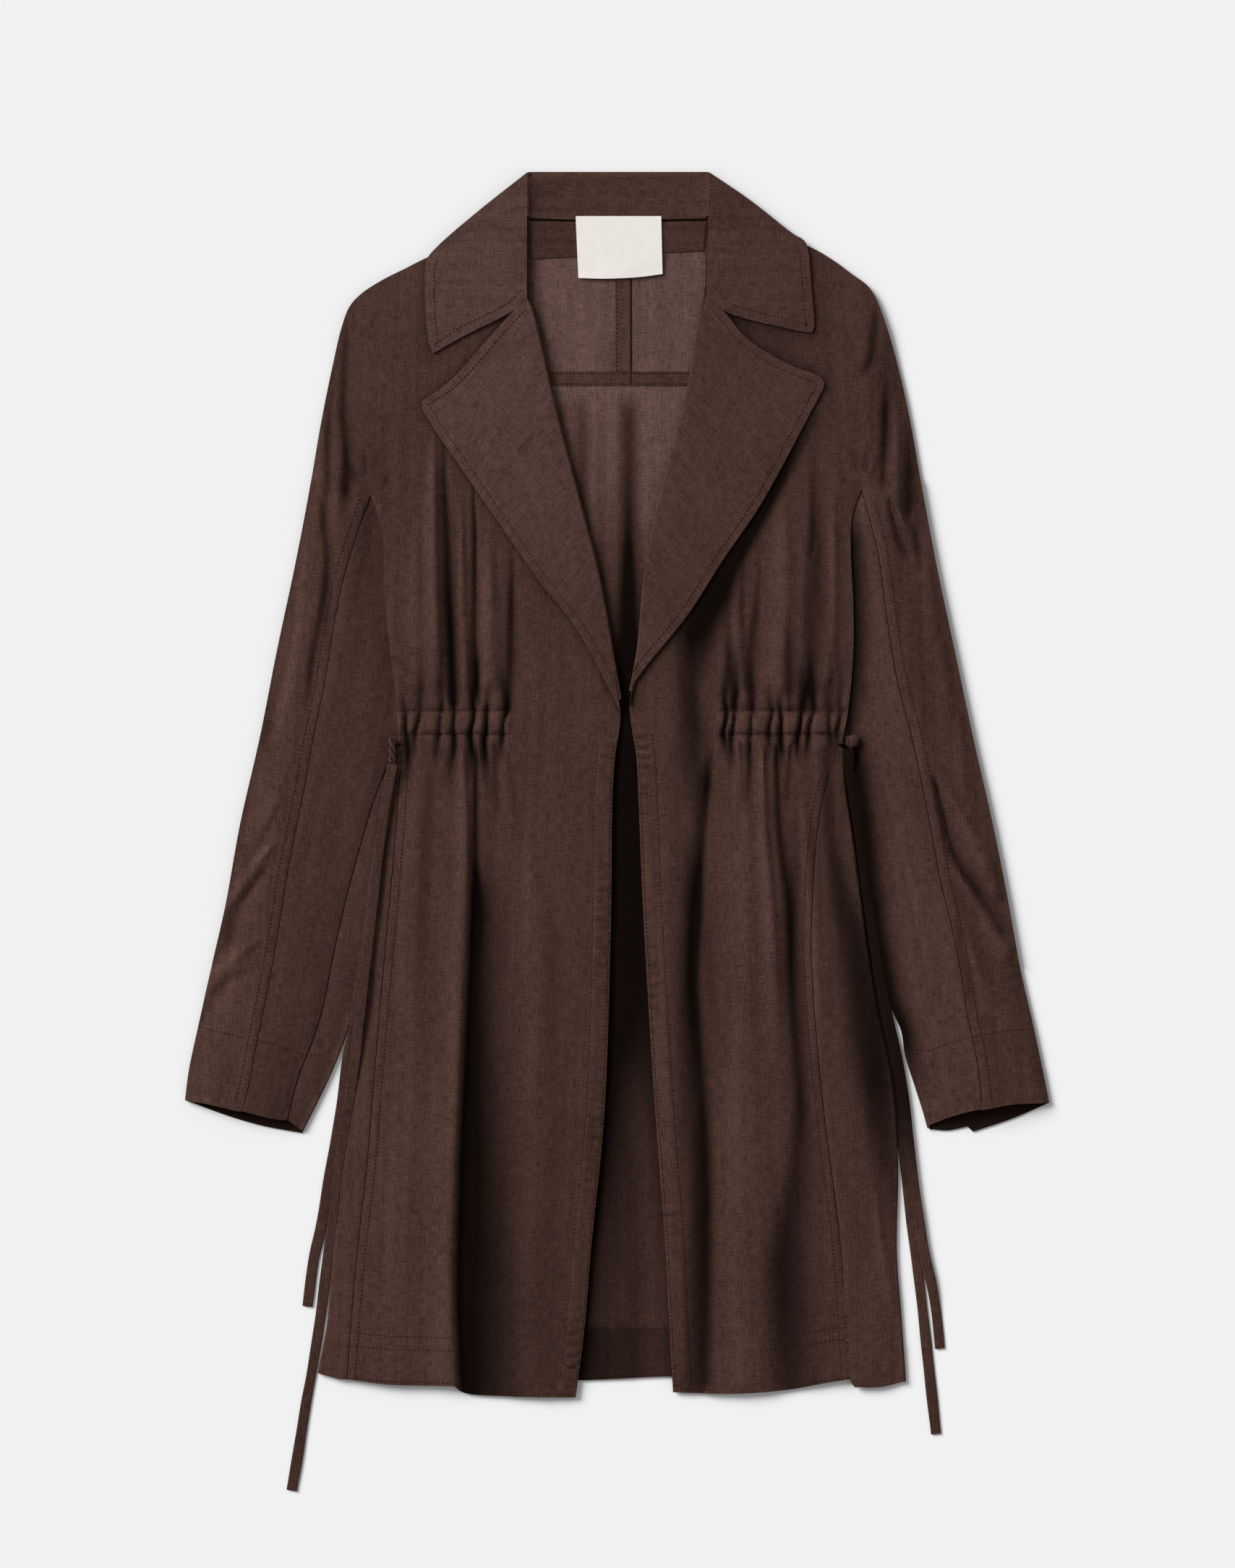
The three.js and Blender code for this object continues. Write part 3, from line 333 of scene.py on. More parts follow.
# Short tucks that fan out where the sleeve seams meet the underarm: x, y, angle in degrees, length
# and depth
TUCKS = {
    "left": [(-190, 236, 100, 26, 1.1), (-183, 238, 82, 20, 0.9), (-198, 232, 118, 22, 1.0),
             (-176, 226, 66, 18, 0.8), (-206, 222, 128, 18, 0.8), (-170, 212, 40, 16, 0.6)],
    "right": [(189, 240, 82, 24, 1.1), (196, 236, 66, 22, 1.0), (182, 240, 100, 20, 0.9),
              (174, 230, 116, 18, 0.8), (206, 226, 52, 18, 0.8)],
}

# Free tails of the drawstring: x, y, z from the knot to the cut end
TIES = {
    "left_short": [(-170.5, 14.5, 6.2), (-173, -9, 6.2), (-178, -37, 6.3), (-185, -81, 6.4),
        (-190, -119, 6.2), (-196, -163, 5.0), (-199, -185, 3.9), (-204, -207, 2.1), (-207, -229, 0.9),
        (-210, -251, 0.9), (-218, -295, 0.9), (-225, -339, 0.9), (-230, -361, 0.9), (-235, -398, 0.9)],
    "left_long": [(-170, 14.5, 8.0), (-176, -20, 8.0), (-182, -64, 8.1), (-187, -108, 8.0),
        (-192, -152, 7.2), (-197, -196, 5.3), (-203, -240, 3.0), (-208.5, -273, 2.6), (-213, -306, 2.6),
        (-216, -335, 2.5), (-219.5, -361, 0.9), (-225, -405, 0.9), (-232, -449, 0.9), (-236, -471, 0.9),
        (-243, -515, 0.9), (-247, -538, 0.9)],
    "right_long": [(175.2, 26, 6.7), (176, 21, 6.6), (176.3, 13, 4.4), (178, 4, 2.2), (180, -14, 0.9),
        (182, -31, 0.9), (187, -70, 0.9), (193, -114, 0.9), (199, -152, 0.9), (205, -185, 0.9),
        (211, -218, 0.9), (216, -262, 0.9), (219, -284, 0.9), (225, -339, 0.9), (232, -394, 0.9),
        (238, -449, 0.9), (243, -495, 0.9)],
    "right_short": [(176.4, 26, 8.6), (176.9, 21, 8.5), (177, 13, 6.7), (178, 4, 4.6), (180.8, -14, 2.6),
        (183.8, -31, 2.5), (188.8, -70, 2.5), (194.8, -114, 2.5), (201, -152, 2.5), (208, -185, 2.5),
        (215, -218, 2.5), (220, -251, 2.5), (225, -295, 2.5), (231, -339, 2.5), (235, -362, 2.5),
        (240, -383, 2.1), (243.5, -405, 0.9), (246, -430, 0.9)],
}

# Middle of the knot at each side, and the section of the ties
LEFT_KNOT = (-170, 25.2, 7.8)
RIGHT_KNOT = (179.5, 32.2, 8.9)
TIE_WIDTH = 8.4
TIE_THICKNESS = 1.4

# The finish of each slot of the solids
FINISHES = {
    "front_cloth": "front_voile",
    "back_cloth": "back_voile",
    "tie_cloth": "tie_voile",
    "label_cloth": "label_satin",
}

# Surface, light and camera, in metres and degrees
SURFACE_HALF = 4.0
SURFACE_Z = -0.0002
SURFACE_COLOUR = (0.816, 0.816, 0.819)
LIGHT_FROM = (-0.70, 0.50, 0.51)
LIGHT_STRENGTH = 4.2
LIGHT_ANGLE = 30
ROOM_STRENGTH = 0.4
LENS = 120
SENSOR = 36
FRAME_HEIGHT = 1.193
CAMERA_X = 0.0003
CAMERA_Y = 0.00095


# Curves and distances


def clamp(value):
    return np.clip(value, 0.0, 1.0)


def smooth(value):
    t = clamp(value)
    return t * t * (3 - 2 * t)


def soft_max(height, lowest, blend=0.35):
    """The larger of two heights, with no crease where they meet"""
    above = height - lowest
    return lowest + 0.5 * (above + np.sqrt(above * above + blend * blend))


def curve_through(points, step=TURN_STEP):
    """Points about every step along a smooth curve through the given ones"""
    knots = np.array(points, float)
    ends = np.vstack((2 * knots[0] - knots[1], knots, 2 * knots[-1] - knots[-2]))
    made = [knots[:1]]
    for k in range(len(knots) - 1):
        p0, p1, p2, p3 = ends[k:k + 4]
        t1 = np.linalg.norm(p1 - p0) ** 0.5
        t2 = t1 + np.linalg.norm(p2 - p1) ** 0.5
        t3 = t2 + np.linalg.norm(p3 - p2) ** 0.5
        count = max(1, int(round(np.linalg.norm(p2 - p1) / step)))
        t = (t1 + (t2 - t1) * np.arange(1, count + 1) / count)[:, None]
        a1 = (t1 - t) / t1 * p0 + t / t1 * p1
        a2 = (t2 - t) / (t2 - t1) * p1 + (t - t1) / (t2 - t1) * p2
        a3 = (t3 - t) / (t3 - t2) * p2 + (t - t2) / (t3 - t2) * p3
        b1 = (t2 - t) / t2 * a1 + t / t2 * a2
        b2 = (t3 - t) / (t3 - t1) * a2 + (t - t1) / (t3 - t1) * a3
        made.append((t2 - t) / (t2 - t1) * b1 + (t - t1) / (t2 - t1) * b2)
    return np.vstack(made)


def outline_through(points, step=OUTLINE_STEP, corner=CORNER_ANGLE):
    """A closed outline with its corners kept and the stretches between them smooth"""
    raw = np.array(points, float)
    raw = raw[np.linalg.norm(raw - np.roll(raw, 1, axis=0), axis=1) > 1e-6]
    before = raw - np.roll(raw, 1, axis=0)
    after = np.roll(raw, -1, axis=0) - raw
    turn = np.arctan2(before[:, 0] * after[:, 1] - before[:, 1] * after[:, 0], (before * after).sum(1))
    corners = np.flatnonzero(np.abs(turn) > math.radians(corner))
    made = []
    for first, last in zip(corners, np.append(corners[1:], corners[0] + len(raw))):
        run = raw[np.arange(first, last + 1) % len(raw)]
        made.append(curve_through(run, step)[:-1])
    return np.vstack(made)


def distance_to(line, x, y):
    nearest = np.full(np.shape(x), np.inf)
    for (x0, y0), (x1, y1) in zip(line[:-1], line[1:]):
        dx = x1 - x0
        dy = y1 - y0
        t = clamp(((x - x0) * dx + (y - y0) * dy) / (dx * dx + dy * dy))
        nearest = np.minimum(nearest, np.hypot(x - x0 - t * dx, y - y0 - t * dy))
    return nearest


def edge_x(edge, y):
    """The x of an edge at a height, for an edge that runs downwards"""
    return np.interp(-np.asarray(y, float), np.maximum.accumulate(-edge[:, 1]), edge[:, 0])


def part(edge, top, low):
    return edge[(edge[:, 1] <= top) & (edge[:, 1] >= low)]


def shifted(edge, move_x, move_y=0.0):
    return np.asarray(edge, float) + (move_x, move_y)


def normals_of(line):
    along = np.gradient(line[:, :2], axis=0)
    along /= np.linalg.norm(along, axis=1, keepdims=True)
    return np.column_stack((-along[:, 1], along[:, 0]))


def beside(line, distance):
    """A copy of a line, moved to its left by a distance"""
    return line[:, :2] + normals_of(line) * distance


def crossings(outline, y):
    x0, y0 = outline.T
    x1, y1 = np.roll(outline, -1, axis=0).T
    cut = (y0 > y) != (y1 > y)
    return np.sort(x0[cut] + (x1[cut] - x0[cut]) * (y - y0[cut]) / (y1[cut] - y0[cut]))


def inside(outline, x, y):
    odd = np.zeros(np.shape(x), bool)
    for (x0, y0), (x1, y1) in zip(outline, np.roll(outline, -1, axis=0)):
        if y0 != y1:
            cut = (y0 > y) != (y1 > y)
            odd ^= cut & (x < x0 + (x1 - x0) * (y - y0) / (y1 - y0))
    return odd


def area_of(outline):
    x, y = np.asarray(outline, float).T
    return 0.5 * abs(np.dot(x, np.roll(y, -1)) - np.dot(y, np.roll(x, -1)))


# Sides of the coat

EDGES = ("outer", "side", "side_seam", "seam", "rear_seam", "inner", "opening")


class Side:
    """The smooth edges and the tables of one side of the coat"""

    def __init__(self, name, table):
        self.name = name
        self.sign = table["sign"]
        self.table = table
        for edge in EDGES:
            points = table[edge]
            setattr(self, edge, None if points is None else curve_through(points, EDGE_STEP))
        self.leaf = outline_through(table["leaf"])
        self.lapel = outline_through(table["lapel"])
        self.break_y = BREAK_LEFT_Y if self.sign < 0 else BREAK_RIGHT_Y
        self.gathers = table["gathers"]
        self.free_inner = part(self.inner, FREE_SLEEVE_Y, -300)
        self.body_side = part(self.side, 230, -125)


LEFT = Side("left", SIDES["left"])
RIGHT = Side("right", SIDES["right"])


# Height of the cloth


def lift(y):
    return COLLAR_LIFT * clamp((y - LIFT_START_Y) / (LIFT_FULL_Y - LIFT_START_Y))


def smooth_top(side, x, y):
    """The front without its folds: lowest at its edges, with a soft rise from them"""
    outside = (np.abs(x) > np.abs(edge_x(side.outer, y))) & (y >= CUFF_Y)
    to_outer = np.where(outside, 0.0, distance_to(side.outer, x, y))
    to_side = distance_to(side.side, x, y)
    to_inner = distance_to(side.free_inner, x, y)
    past_side = np.abs(x) - np.abs(edge_x(side.side, y))
    on_sleeve = smooth((past_side + 12) / 40) * smooth((330 - y) / 110)
    rise = BODY_RISE + (SLEEVE_RISE - BODY_RISE) * on_sleeve
    over_sleeve = np.exp(-(distance_to(side.body_side, x, y) / 22) ** 2)
    height = EDGE_TOP + lift(y) + LAYER * over_sleeve
    nearest = np.minimum(np.minimum(to_outer, to_side), to_inner)
    height = height + rise * (1 - np.exp(-nearest / EDGE_ROLL))
    height = height - OPENING_DROP * np.exp(-distance_to(side.opening, x, y) / OPENING_ROLL)
    height = height - HEM_DROP * np.exp(-np.maximum(0, y - HEM_Y) / HEM_ROLL)
    return np.maximum(height, EDGE_TOP + lift(y))


def fold_height(row, x, y):
    points, left, right, height, power, fade_in, fade_out = row
    line = curve_through(points, FOLD_STEP)
    first, last = line[0], line[-1]
    along = (last - first) / np.linalg.norm(last - first)
    travelled = (x - first[0]) * along[0] + (y - first[1]) * along[1]
    total = float(np.dot(last - first, along))
    distance = distance_to(line, x, y)
    steep = abs(along[1]) > abs(along[0])
    width = np.where(x < edge_x(line, y), left, right) if steep else 0.5 * (left + right)
    growth = 0.3 + 0.7 * clamp(travelled / (0.6 * total))
    shape = np.exp(-(distance / (width * growth)) ** power)
    if fade_in:
        shape = shape * smooth(travelled / fade_in)
    if fade_out:
        shape = shape * smooth((total - travelled) / fade_out)
    return height * shape


def gather_height(side, x, y):
    """Each gather is deepest on the casing, slants across it, and widens and fades away from it"""
    total = np.zeros(np.shape(x))
    away = np.abs(y - WAIST_Y)
    for k, (gather_x, up, down) in enumerate(side.gathers):
        reach = np.where(y > WAIST_Y, up, down)
        fade = 1 - smooth(away / reach)
        lean = 1.0 + 0.9 * math.sin(2.3 * k + side.sign)
        slant = lean * np.sin(1.4 * np.clip((y - WAIST_Y) / CASING_HALF, -1.6, 1.6))
        drift = slant + 1.5 * np.sin(y / 13 + 1.7 * k) * smooth(away / 16)
        depth = GATHER_DEPTH * (1 + 0.3 * math.sin(1.3 * k + 2)) * (1 + 0.4 * smooth((WAIST_Y - y) / 14))
        width = 1.5 + 0.06 * away
        total -= depth * fade * np.exp(-np.abs((x - gather_x - drift) / width) ** 1.6)
    return total


def casing_height(side, x, y):
    """The casing swells between its two rows of stitching and dips under them"""
    reach = np.abs([row[0] for row in side.gathers])
    on = smooth((np.abs(x) - reach.min() + 8) / 8) * smooth((reach.max() + 12 - np.abs(x)) / 8)
    away = np.abs(y - WAIST_Y)
    swell = 2.1 * np.sqrt(clamp(1 - (away / CASING_HALF) ** 2))
    dip = -0.9 * np.exp(-((away - CASING_HALF) / 1.6) ** 2)
    puff = 1.1 * np.exp(-((away - CASING_HALF - 7) / 6) ** 2)
    return on * (swell + dip + puff)


def tuck_height(side, x, y):
    total = np.zeros(np.shape(x))
    for tuck_x, tuck_y, angle, length, depth in TUCKS[side.name]:
        way = np.array((math.cos(math.radians(angle)), math.sin(math.radians(angle))))
        line = np.array(((tuck_x, tuck_y), (tuck_x, tuck_y) + way * length))
        travelled = (x - tuck_x) * way[0] + (y - tuck_y) * way[1]
        shape = np.exp(-np.abs(distance_to(line, x, y) / 1.9) ** 1.5)
        total -= depth * shape * (1 - smooth(travelled / length))
    return total


def waves(seed, count, short, long, lean):
    """Gentle waves that run mostly along the cloth: their direction, phase and share"""
    draw = np.random.default_rng(seed)
    across = 2 * math.pi / draw.uniform(short, long, count)
    along = across * draw.uniform(-lean, lean, count)
    return across, along, draw.uniform(0, 2 * math.pi, count), draw.uniform(0.5, 1.0, count)


def ripple(seed, x, y, short=13, long=42, lean=0.22, count=9):
    across, along, phase, share = waves(seed, count, short, long, lean)
    total = np.zeros(np.shape(x))
    for k in range(count):
        bend = 4 * np.sin(y / 61 + phase[k])
        total += share[k] * np.sin(across[k] * (x + bend) + along[k] * y + phase[k])
    return total / share.sum()


def crumple(seed, x, y):
    """Small creases in all directions, as linen keeps"""
    draw = np.random.default_rng(seed)
    total = np.zeros(np.shape(x))
    for _ in range(8):
        turn = draw.uniform(0, math.pi)
        size = draw.uniform(7, 19)
        phase = draw.uniform(0, 2 * math.pi)
        u = x * math.cos(turn) + y * math.sin(turn)
        v = y * math.cos(turn) - x * math.sin(turn)
        total += np.sin(2 * math.pi * u / size + phase + 1.4 * np.sin(v / (1.7 * size)))
    return total / 8


def facing_height(side, x, y):
    """The turned-back facing shows as a raised band with small puckers beside the front edge"""
    away = distance_to(side.opening, x, y)
    below_break = smooth((side.break_y - 6 - y) / 24)
    band = 0.42 * (1 - smooth((away - FACING_WIDTH + 1.5) / 2))
    groove = -0.22 * np.exp(-((away - FACING_WIDTH) / 1.2) ** 2)
    window = smooth(away / 3) * (1 - smooth((away - 8) / 6))
    beat = np.sin(2 * math.pi * (y + 2.2 * np.sin(y / 19)) / 7.7 + 0.5 * np.sin(x / 3))
    pucker = 0.62 * window * beat * (0.55 + 0.45 * np.sin(y / 27 + side.sign))
    return below_break * (band + groove + pucker)


def hem_line(side, x):
    points = np.array(sorted(side.table["hem"] + side.table["wrap_hem"]), float)
    return np.interp(x, points[:, 0], points[:, 1])


def hem_height(side, x, y):
    above = y - hem_line(side, x)
    step = 0.3 * (1 - smooth((above - HEM_DEPTH) / 2.5))
    pucker = 0.14 * np.sin(x / 1.9 + 0.6 * np.sin(x / 13)) * np.exp(-((above - HEM_DEPTH) / 4) ** 2)
    return (step + pucker) * (y < -380)


def cuff_line(side, x):
    points = np.array(sorted(side.table["cuff_front"]), float)
    return np.interp(x, points[:, 0], points[:, 1])


def cuff_height(side, x, y):
    above = y - cuff_line(side, x)
    step = 0.32 * (1 - smooth((above - CUFF_DEPTH) / 2.5))
    pucker = 0.16 * np.sin(x / 2.1 + 0.5 * np.sin(x / 9)) * np.exp(-((above - CUFF_DEPTH) / 4) ** 2)
    return (step + pucker) * (np.abs(x) > 216) * (y < -150)


def seam_height(line, x, y, width=8, height=0.35):
    """The felled seam lies as a slightly raised band outside its stitching"""
    away = distance_to(line, x, y)
    return height * (1 - smooth((away - width + 1) / 2)) - 0.5 * np.exp(-(away / 0.8) ** 2)


def under_covers(side, x, y):
    return inside(side.leaf, x, y) | inside(side.lapel, x, y)


def front_top(side, x, y):
    relief = 0.28 * ripple(11 + side.sign, x, y) + 0.10 * crumple(21 + side.sign, x, y)
    for row in FOLDS[side.name]:
        relief += fold_height(row, x, y)
    relief += gather_height(side, x, y) + casing_height(side, x, y) + tuck_height(side, x, y)
    relief += facing_height(side, x, y) + hem_height(side, x, y) + cuff_height(side, x, y)
    outside_seam = np.abs(x) > np.abs(edge_x(side.seam, y)) - 0.5
    relief += seam_height(side.seam, x, y) * outside_seam * (y < UNDERARM_Y - 2)
    relief += 0.6 * seam_height(side.side_seam, x, y, 6, 0.3) * (y < 10)
    relief = np.where(under_covers(side, x, y), np.clip(relief, -3, 0.15), relief)
    height = smooth_top(side, x, y) + relief
    beside_body = (y < UNDERARM_Y + 12) & (y > -138)
    over_inner = beside_body & (np.abs(x) > np.abs(edge_x(side.inner, y)) - 13)
    return soft_max(height, np.where(over_inner, LOWEST_OVER_SLEEVE, EDGE_TOP) + lift(y))


def under_top(side, x, y):
    """The under-sleeve dips one layer to pass beneath the body"""
    seam_x = np.abs(edge_x(side.seam, y))
    side_x = np.abs(edge_x(side.side, y))
    across = (seam_x - np.abs(x)) / np.maximum(seam_x - side_x, 10)
    dip = np.maximum(smooth(across / 0.6), smooth((y - 200) / 18))
    return soft_max(front_top(side, x, y) - LAYER * dip, EDGE_TOP)


def back_top(x, y):
    """The lower back, with the soft folds that its yoke seam gathers into it"""
    x = np.asarray(x, float)
    shows = smooth((BACK_FOLD_REACH + 6 - np.abs(x)) / 10) * smooth((YOKE_SEAM_Y - 2 - y) / 34)
    folds = sum(height * np.exp(-((x - fx) / width) ** 2) for fx, width, height in BACK_FOLDS)
    fine = 0.16 * ripple(5, x, y, 6, 12, 0.05) * smooth((y - 170) / 120)
    wide = 0.14 * ripple(6, x, y) + 0.05 * crumple(7, x, y)
    hem = 0.25 * (1 - smooth((y + 413) / 2.5))
    return BACK_TOP + shows * (0.9 * folds + fine + wide) + hem * (y < -380)


def yoke_top(x, y):
    return BACK_TOP + lift(y) + 0.06 * crumple(8, x, y) + 0.1 * ripple(9, x, y)


def below_yoke_top(x, y):
    """The bottom of what is felled onto the yoke, sunk a little into it"""
    return yoke_top(x, y) - 0.3


def cover_bottom(side, x, y):
    return smooth_top(side, x, y) + COVER_GAP


def cover_top(side, x, y, seed):
    """Cloth that turns over at the roll line is fuller beside it"""
    fullness = ROLL_HEIGHT * np.exp(-distance_to(side.opening, x, y) / ROLL_REACH)
    relief = 0.3 * ripple(seed, x, y, 22, 60, 0.6) + 0.12 * crumple(seed + 1, x, y)
    return cover_bottom(side, x, y) + 1.0 + fullness + relief


def leaf_top(side, x, y):
    return cover_top(side, x, y, 51 + side.sign)


def lapel_top(side, x, y):
    return cover_top(side, x, y, 61 + side.sign)


def seam_line(row, height_at, width):
    """A thin dark line where two pieces meet, as a closed strip sunk into the cloth"""
    line = curve_through(row, ROW_STEP)
    rings = []
    for (x, y), (nx, ny), z in zip(line, normals_of(line), height_at(line[:, 0], line[:, 1])):
        ring = []
        for across, up in ((1, 0.0), (0, 0.16), (-1, 0.0), (0, -0.3)):
            ring.append((x + nx * across * width / 2, y + ny * across * width / 2, z + up))
        rings.append(ring)
    return swept(rings, DEEP)


def band_darkness(side, x, y):
    """The long bands of shade on one side of the coat"""
    total = np.zeros(np.shape(x))
    for band in SHADE_BANDS[side.name]:
        levels, middles, widths, amounts = np.array(band, float).T
        across = np.abs(x - np.interp(y, levels, middles)) / np.interp(y, levels, widths)
        total += np.interp(y, levels, amounts) * np.exp(-across ** 2.6)
    return total


def fold_painted_shading(row):
    """The share of a fold's height painted into its colour, shade in a trough and a little highlight on a
    ridge, by where the fold ends
    """
    end_x, end_y = row[0][-1]
    if row[3] >= 0:
        return 0.08
    if abs(end_x) > 195:
        return 0.12
    return 0.3 if end_y < -200 else 0.2


def painted_hollow_shade(side, x, y):
    """Painted shade in folds, gathers, tucks, puckers and hollows, with painted shadow beside the collar leaf
    and lapel and the bands of shade
    """
    total = np.zeros(np.shape(x))
    for row in FOLDS[side.name]:
        total -= fold_height(row, x, y) * fold_painted_shading(row)
    # Painted shade in the gathers and tucks, and a little painted highlight on the swell of the casing
    total -= gather_height(side, x, y) / 4.2 + tuck_height(side, x, y) / 2.6
    total -= 0.07 * casing_height(side, x, y)
    # Painted shade in the puckers beside the front edge
    puckered = (distance_to(side.opening, x, y) < 11) & (y < side.break_y - 20)
    total += 0.9 * puckered * np.maximum(0, 0.25 - facing_height(side, x, y))
    for hx, hy, across, along, angle, darkness in SHADED_HOLLOWS[side.name]:
        turn = math.radians(angle)
        u = (x - hx) * math.cos(turn) + (y - hy) * math.sin(turn)
        v = (y - hy) * math.cos(turn) - (x - hx) * math.sin(turn)
        total += darkness * np.exp(-((u / across) ** 2) - ((v / along) ** 2))
    # Painted shadow cast by the collar leaf and lapel onto the front, wider on the right, away from the light
    reach = 2.2 if side.sign < 0 else 7.0
    for cover in (side.leaf, side.lapel):
        total += (0.5 if side.sign < 0 else 0.6) * np.exp(-distance_to(cover, x, y) / reach)
    total = np.where(under_covers(side, x, y), 0.6, total + band_darkness(side, x, y))
    return np.clip(total, -0.3, 1)


def front_layers_and_shade(side, x, y):
    """Close cloth is 1, painted shade in deep hollows near 2, a little painted shade on the right sleeve, and
    the outside of a sleeve is paler
    """
    sleeve = smooth((np.abs(x) - np.abs(edge_x(side.seam, y)) - 6) / 10) * (y < UNDERARM_Y)
    outer = np.exp(-((np.abs(x) - np.abs(edge_x(side.outer, y)) + 16) / 9) ** 2)
    streaks = 0.5 + 0.5 * ripple(71, x, y, 9, 26, 0.3)
    # The right sleeve, on the side away from the light, gets a little painted shade
    shade = 0.06 * streaks + 0.12 * sleeve * (side.sign > 0)
    return 1.0 + painted_hollow_shade(side, x, y) + shade - 0.2 * sleeve * outer * (0.4 + streaks)


def cover_painted_light(side, x, y):
    """Painted light: the collar leaf and lapel on the side of the light are painted paler towards the neck"""
    streaks = 0.07 * ripple(72 + side.sign, x, y, 8, 30, 0.6)
    if side.sign > 0:
        return 1.02 + streaks
    return 1.0 - 0.34 * smooth((y - 110) / 150) + streaks


def under_layers_and_shade(side, x, y):
    """The under-sleeve, darker in the shade of the body on the side away from the light"""
    if side.sign < 0:
        away = distance_to(part(side.side, UNDERARM_Y, -170), x, y)
        beside_seam = np.exp(-distance_to(side.rear_seam, x, y) / 14)
        return 1.02 + 0.1 * np.exp(-away / 6) + 0.2 * beside_seam
    beside_body = np.exp(-(distance_to(part(side.side, UNDERARM_Y, 10), x, y) / 11) ** 2)
    beside_fold = np.exp(-(distance_to(part(side.inner, 30, -230), x, y) / 11) ** 2) * smooth((y + 250) / 60)
    return 0.95 + 1.05 * np.maximum(beside_body, beside_fold) * smooth((UNDERARM_Y - y) / 40)


def back_layers_and_shade(x, y):
    shade = np.interp(y, *np.array(BACK_SHADE).T)
    stripes = sum(dark * np.exp(-((x - sx) / width) ** 2) for sx, width, dark in BACK_FOLD_SHADE)
    stripes = stripes * smooth((y - 40) / 120) * smooth((YOKE_SEAM_Y - y) / 22)
    left_edge = edge_x(LEFT.opening, y)
    # Painted shadow cast by the left front onto the back beside its edge
    front_edge_shadow = 0.5 * np.exp(-np.maximum(0, x - left_edge) / 9) * (y < 40)
    paler = 0.25 * np.exp(-((x - edge_x(RIGHT.opening, y) + 12) / 10) ** 2) * smooth((-200 - y) / 60)
    hidden = (x < left_edge - 6) | (x > edge_x(RIGHT.opening, y) + 6)
    return np.where(hidden, 1.0, np.clip(shade + stripes + front_edge_shadow - paler, 0, 2))


def yoke_layers_and_shade(side, x, y):
    """One sheer layer inside the neck, a darker strip below the centre seam, painted shadow beside the left
    front, and darker at the cuffs
    """
    inner = np.abs(x) < np.abs(edge_x(side.opening, y)) + 6
    # Painted shadow cast by the left front onto the yoke beside its edge
    left_front_shadow = 0.9 * np.exp(-np.maximum(0, x - edge_x(LEFT.opening, y)) / 8)
    strip = 0.55 * np.exp(-((x + 1 - 0.02 * (y - 302)) / 7) ** 2) * smooth((350 - y) / 30)
    inside_cuff = (np.abs(x) > 200) & (y < CUFF_Y + 60)
    return np.where(inner, 0.12 + left_front_shadow + strip, np.where(inside_cuff, 1.85, 1.0))


# Meshes


def lattice(outline, across, along, spacing_at=None, margin=0.9):
    """Staggered points inside an outline, clear of its edge"""
    low_x, low_y = outline.min(0)
    high_x, high_y = outline.max(0)
    rows = []
    y = high_y - along * 0.5
    while y > low_y:
        rows.append(y)
        y -= spacing_at(y) if spacing_at else along
    kept = []
    for k, row_y in enumerate(rows):
        xs = np.arange(low_x + (k % 2) * across / 2, high_x, across)
        ok = np.ones(len(xs), bool)
        for move_x, move_y in ((0, 0), (margin, 0), (-margin, 0), (0, margin), (0, -margin)):
            ok &= np.searchsorted(crossings(outline, row_y + move_y), xs + move_x) % 2 == 1
        kept.append(np.column_stack((xs[ok], np.full(ok.sum(), row_y))))
    return np.vstack(kept)


def triangles_in(outline, points):
    flat = np.vstack((outline, points))
    count = len(outline)
    edges = [(k, (k + 1) % count) for k in range(count)]
    found = delaunay_2d_cdt([tuple(p) for p in flat], edges, [], 1, 1e-7, False)
    flat = np.array([tuple(v) for v in found[0]])
    triangles = np.array([tuple(f) for f in found[2]])
    a, b, c = (flat[triangles[:, k]] for k in range(3))
    area = (b[:, 0] - a[:, 0]) * (c[:, 1] - a[:, 1]) - (b[:, 1] - a[:, 1]) * (c[:, 0] - a[:, 0])
    triangles[area < 0] = triangles[area < 0][:, ::-1]
    kept = np.abs(area) > 1e-9
    on_edge = np.flatnonzero((triangles < count).all(1))
    middles = flat[triangles[on_edge]].mean(1)
    kept[on_edge] &= inside(outline, middles[:, 0], middles[:, 1])
    triangles = triangles[kept]
    used = np.unique(triangles)
    order = np.full(len(flat), -1)
    order[used] = np.arange(len(used))
    return flat[used], order[triangles]


def waist_spacing(y):
    return STEP_WAIST if WAIST_Y - 30 < y < WAIST_Y + 34 else STEP_ALONG


def shell(outline, top, bottom, across=STEP_ACROSS, along=STEP_ALONG, layers=1.0, spacing_at=None):
    """A closed thin shell between two heights: its points, its faces, and the layers its cloth lies in with
    its painted shade
    """
    flat, triangles = triangles_in(outline, lattice(outline, across, along, spacing_at))
    x, y = flat.T
    count = len(flat)
    high = np.column_stack((x, y, top(x, y)))
    low = np.column_stack((x, y, bottom(x, y) * np.ones(count)))
    sides = np.concatenate((triangles[:, [0, 1]], triangles[:, [1, 2]], triangles[:, [2, 0]]))
    key = sides.min(1) * count + sides.max(1)
    _, where, uses = np.unique(key, return_index=True, return_counts=True)
    rim = sides[where[uses == 1]]
    a, b = rim.T
    walls = np.vstack((np.column_stack((a, a + count, b + count)), np.column_stack((a, b + count, b))))
    faces = np.vstack((triangles, triangles[:, ::-1] + count, walls))
    layers_and_shade = layers(x, y) if callable(layers) else np.full(count, float(layers))
    return np.vstack((high, low)), faces, np.concatenate((layers_and_shade, layers_and_shade))


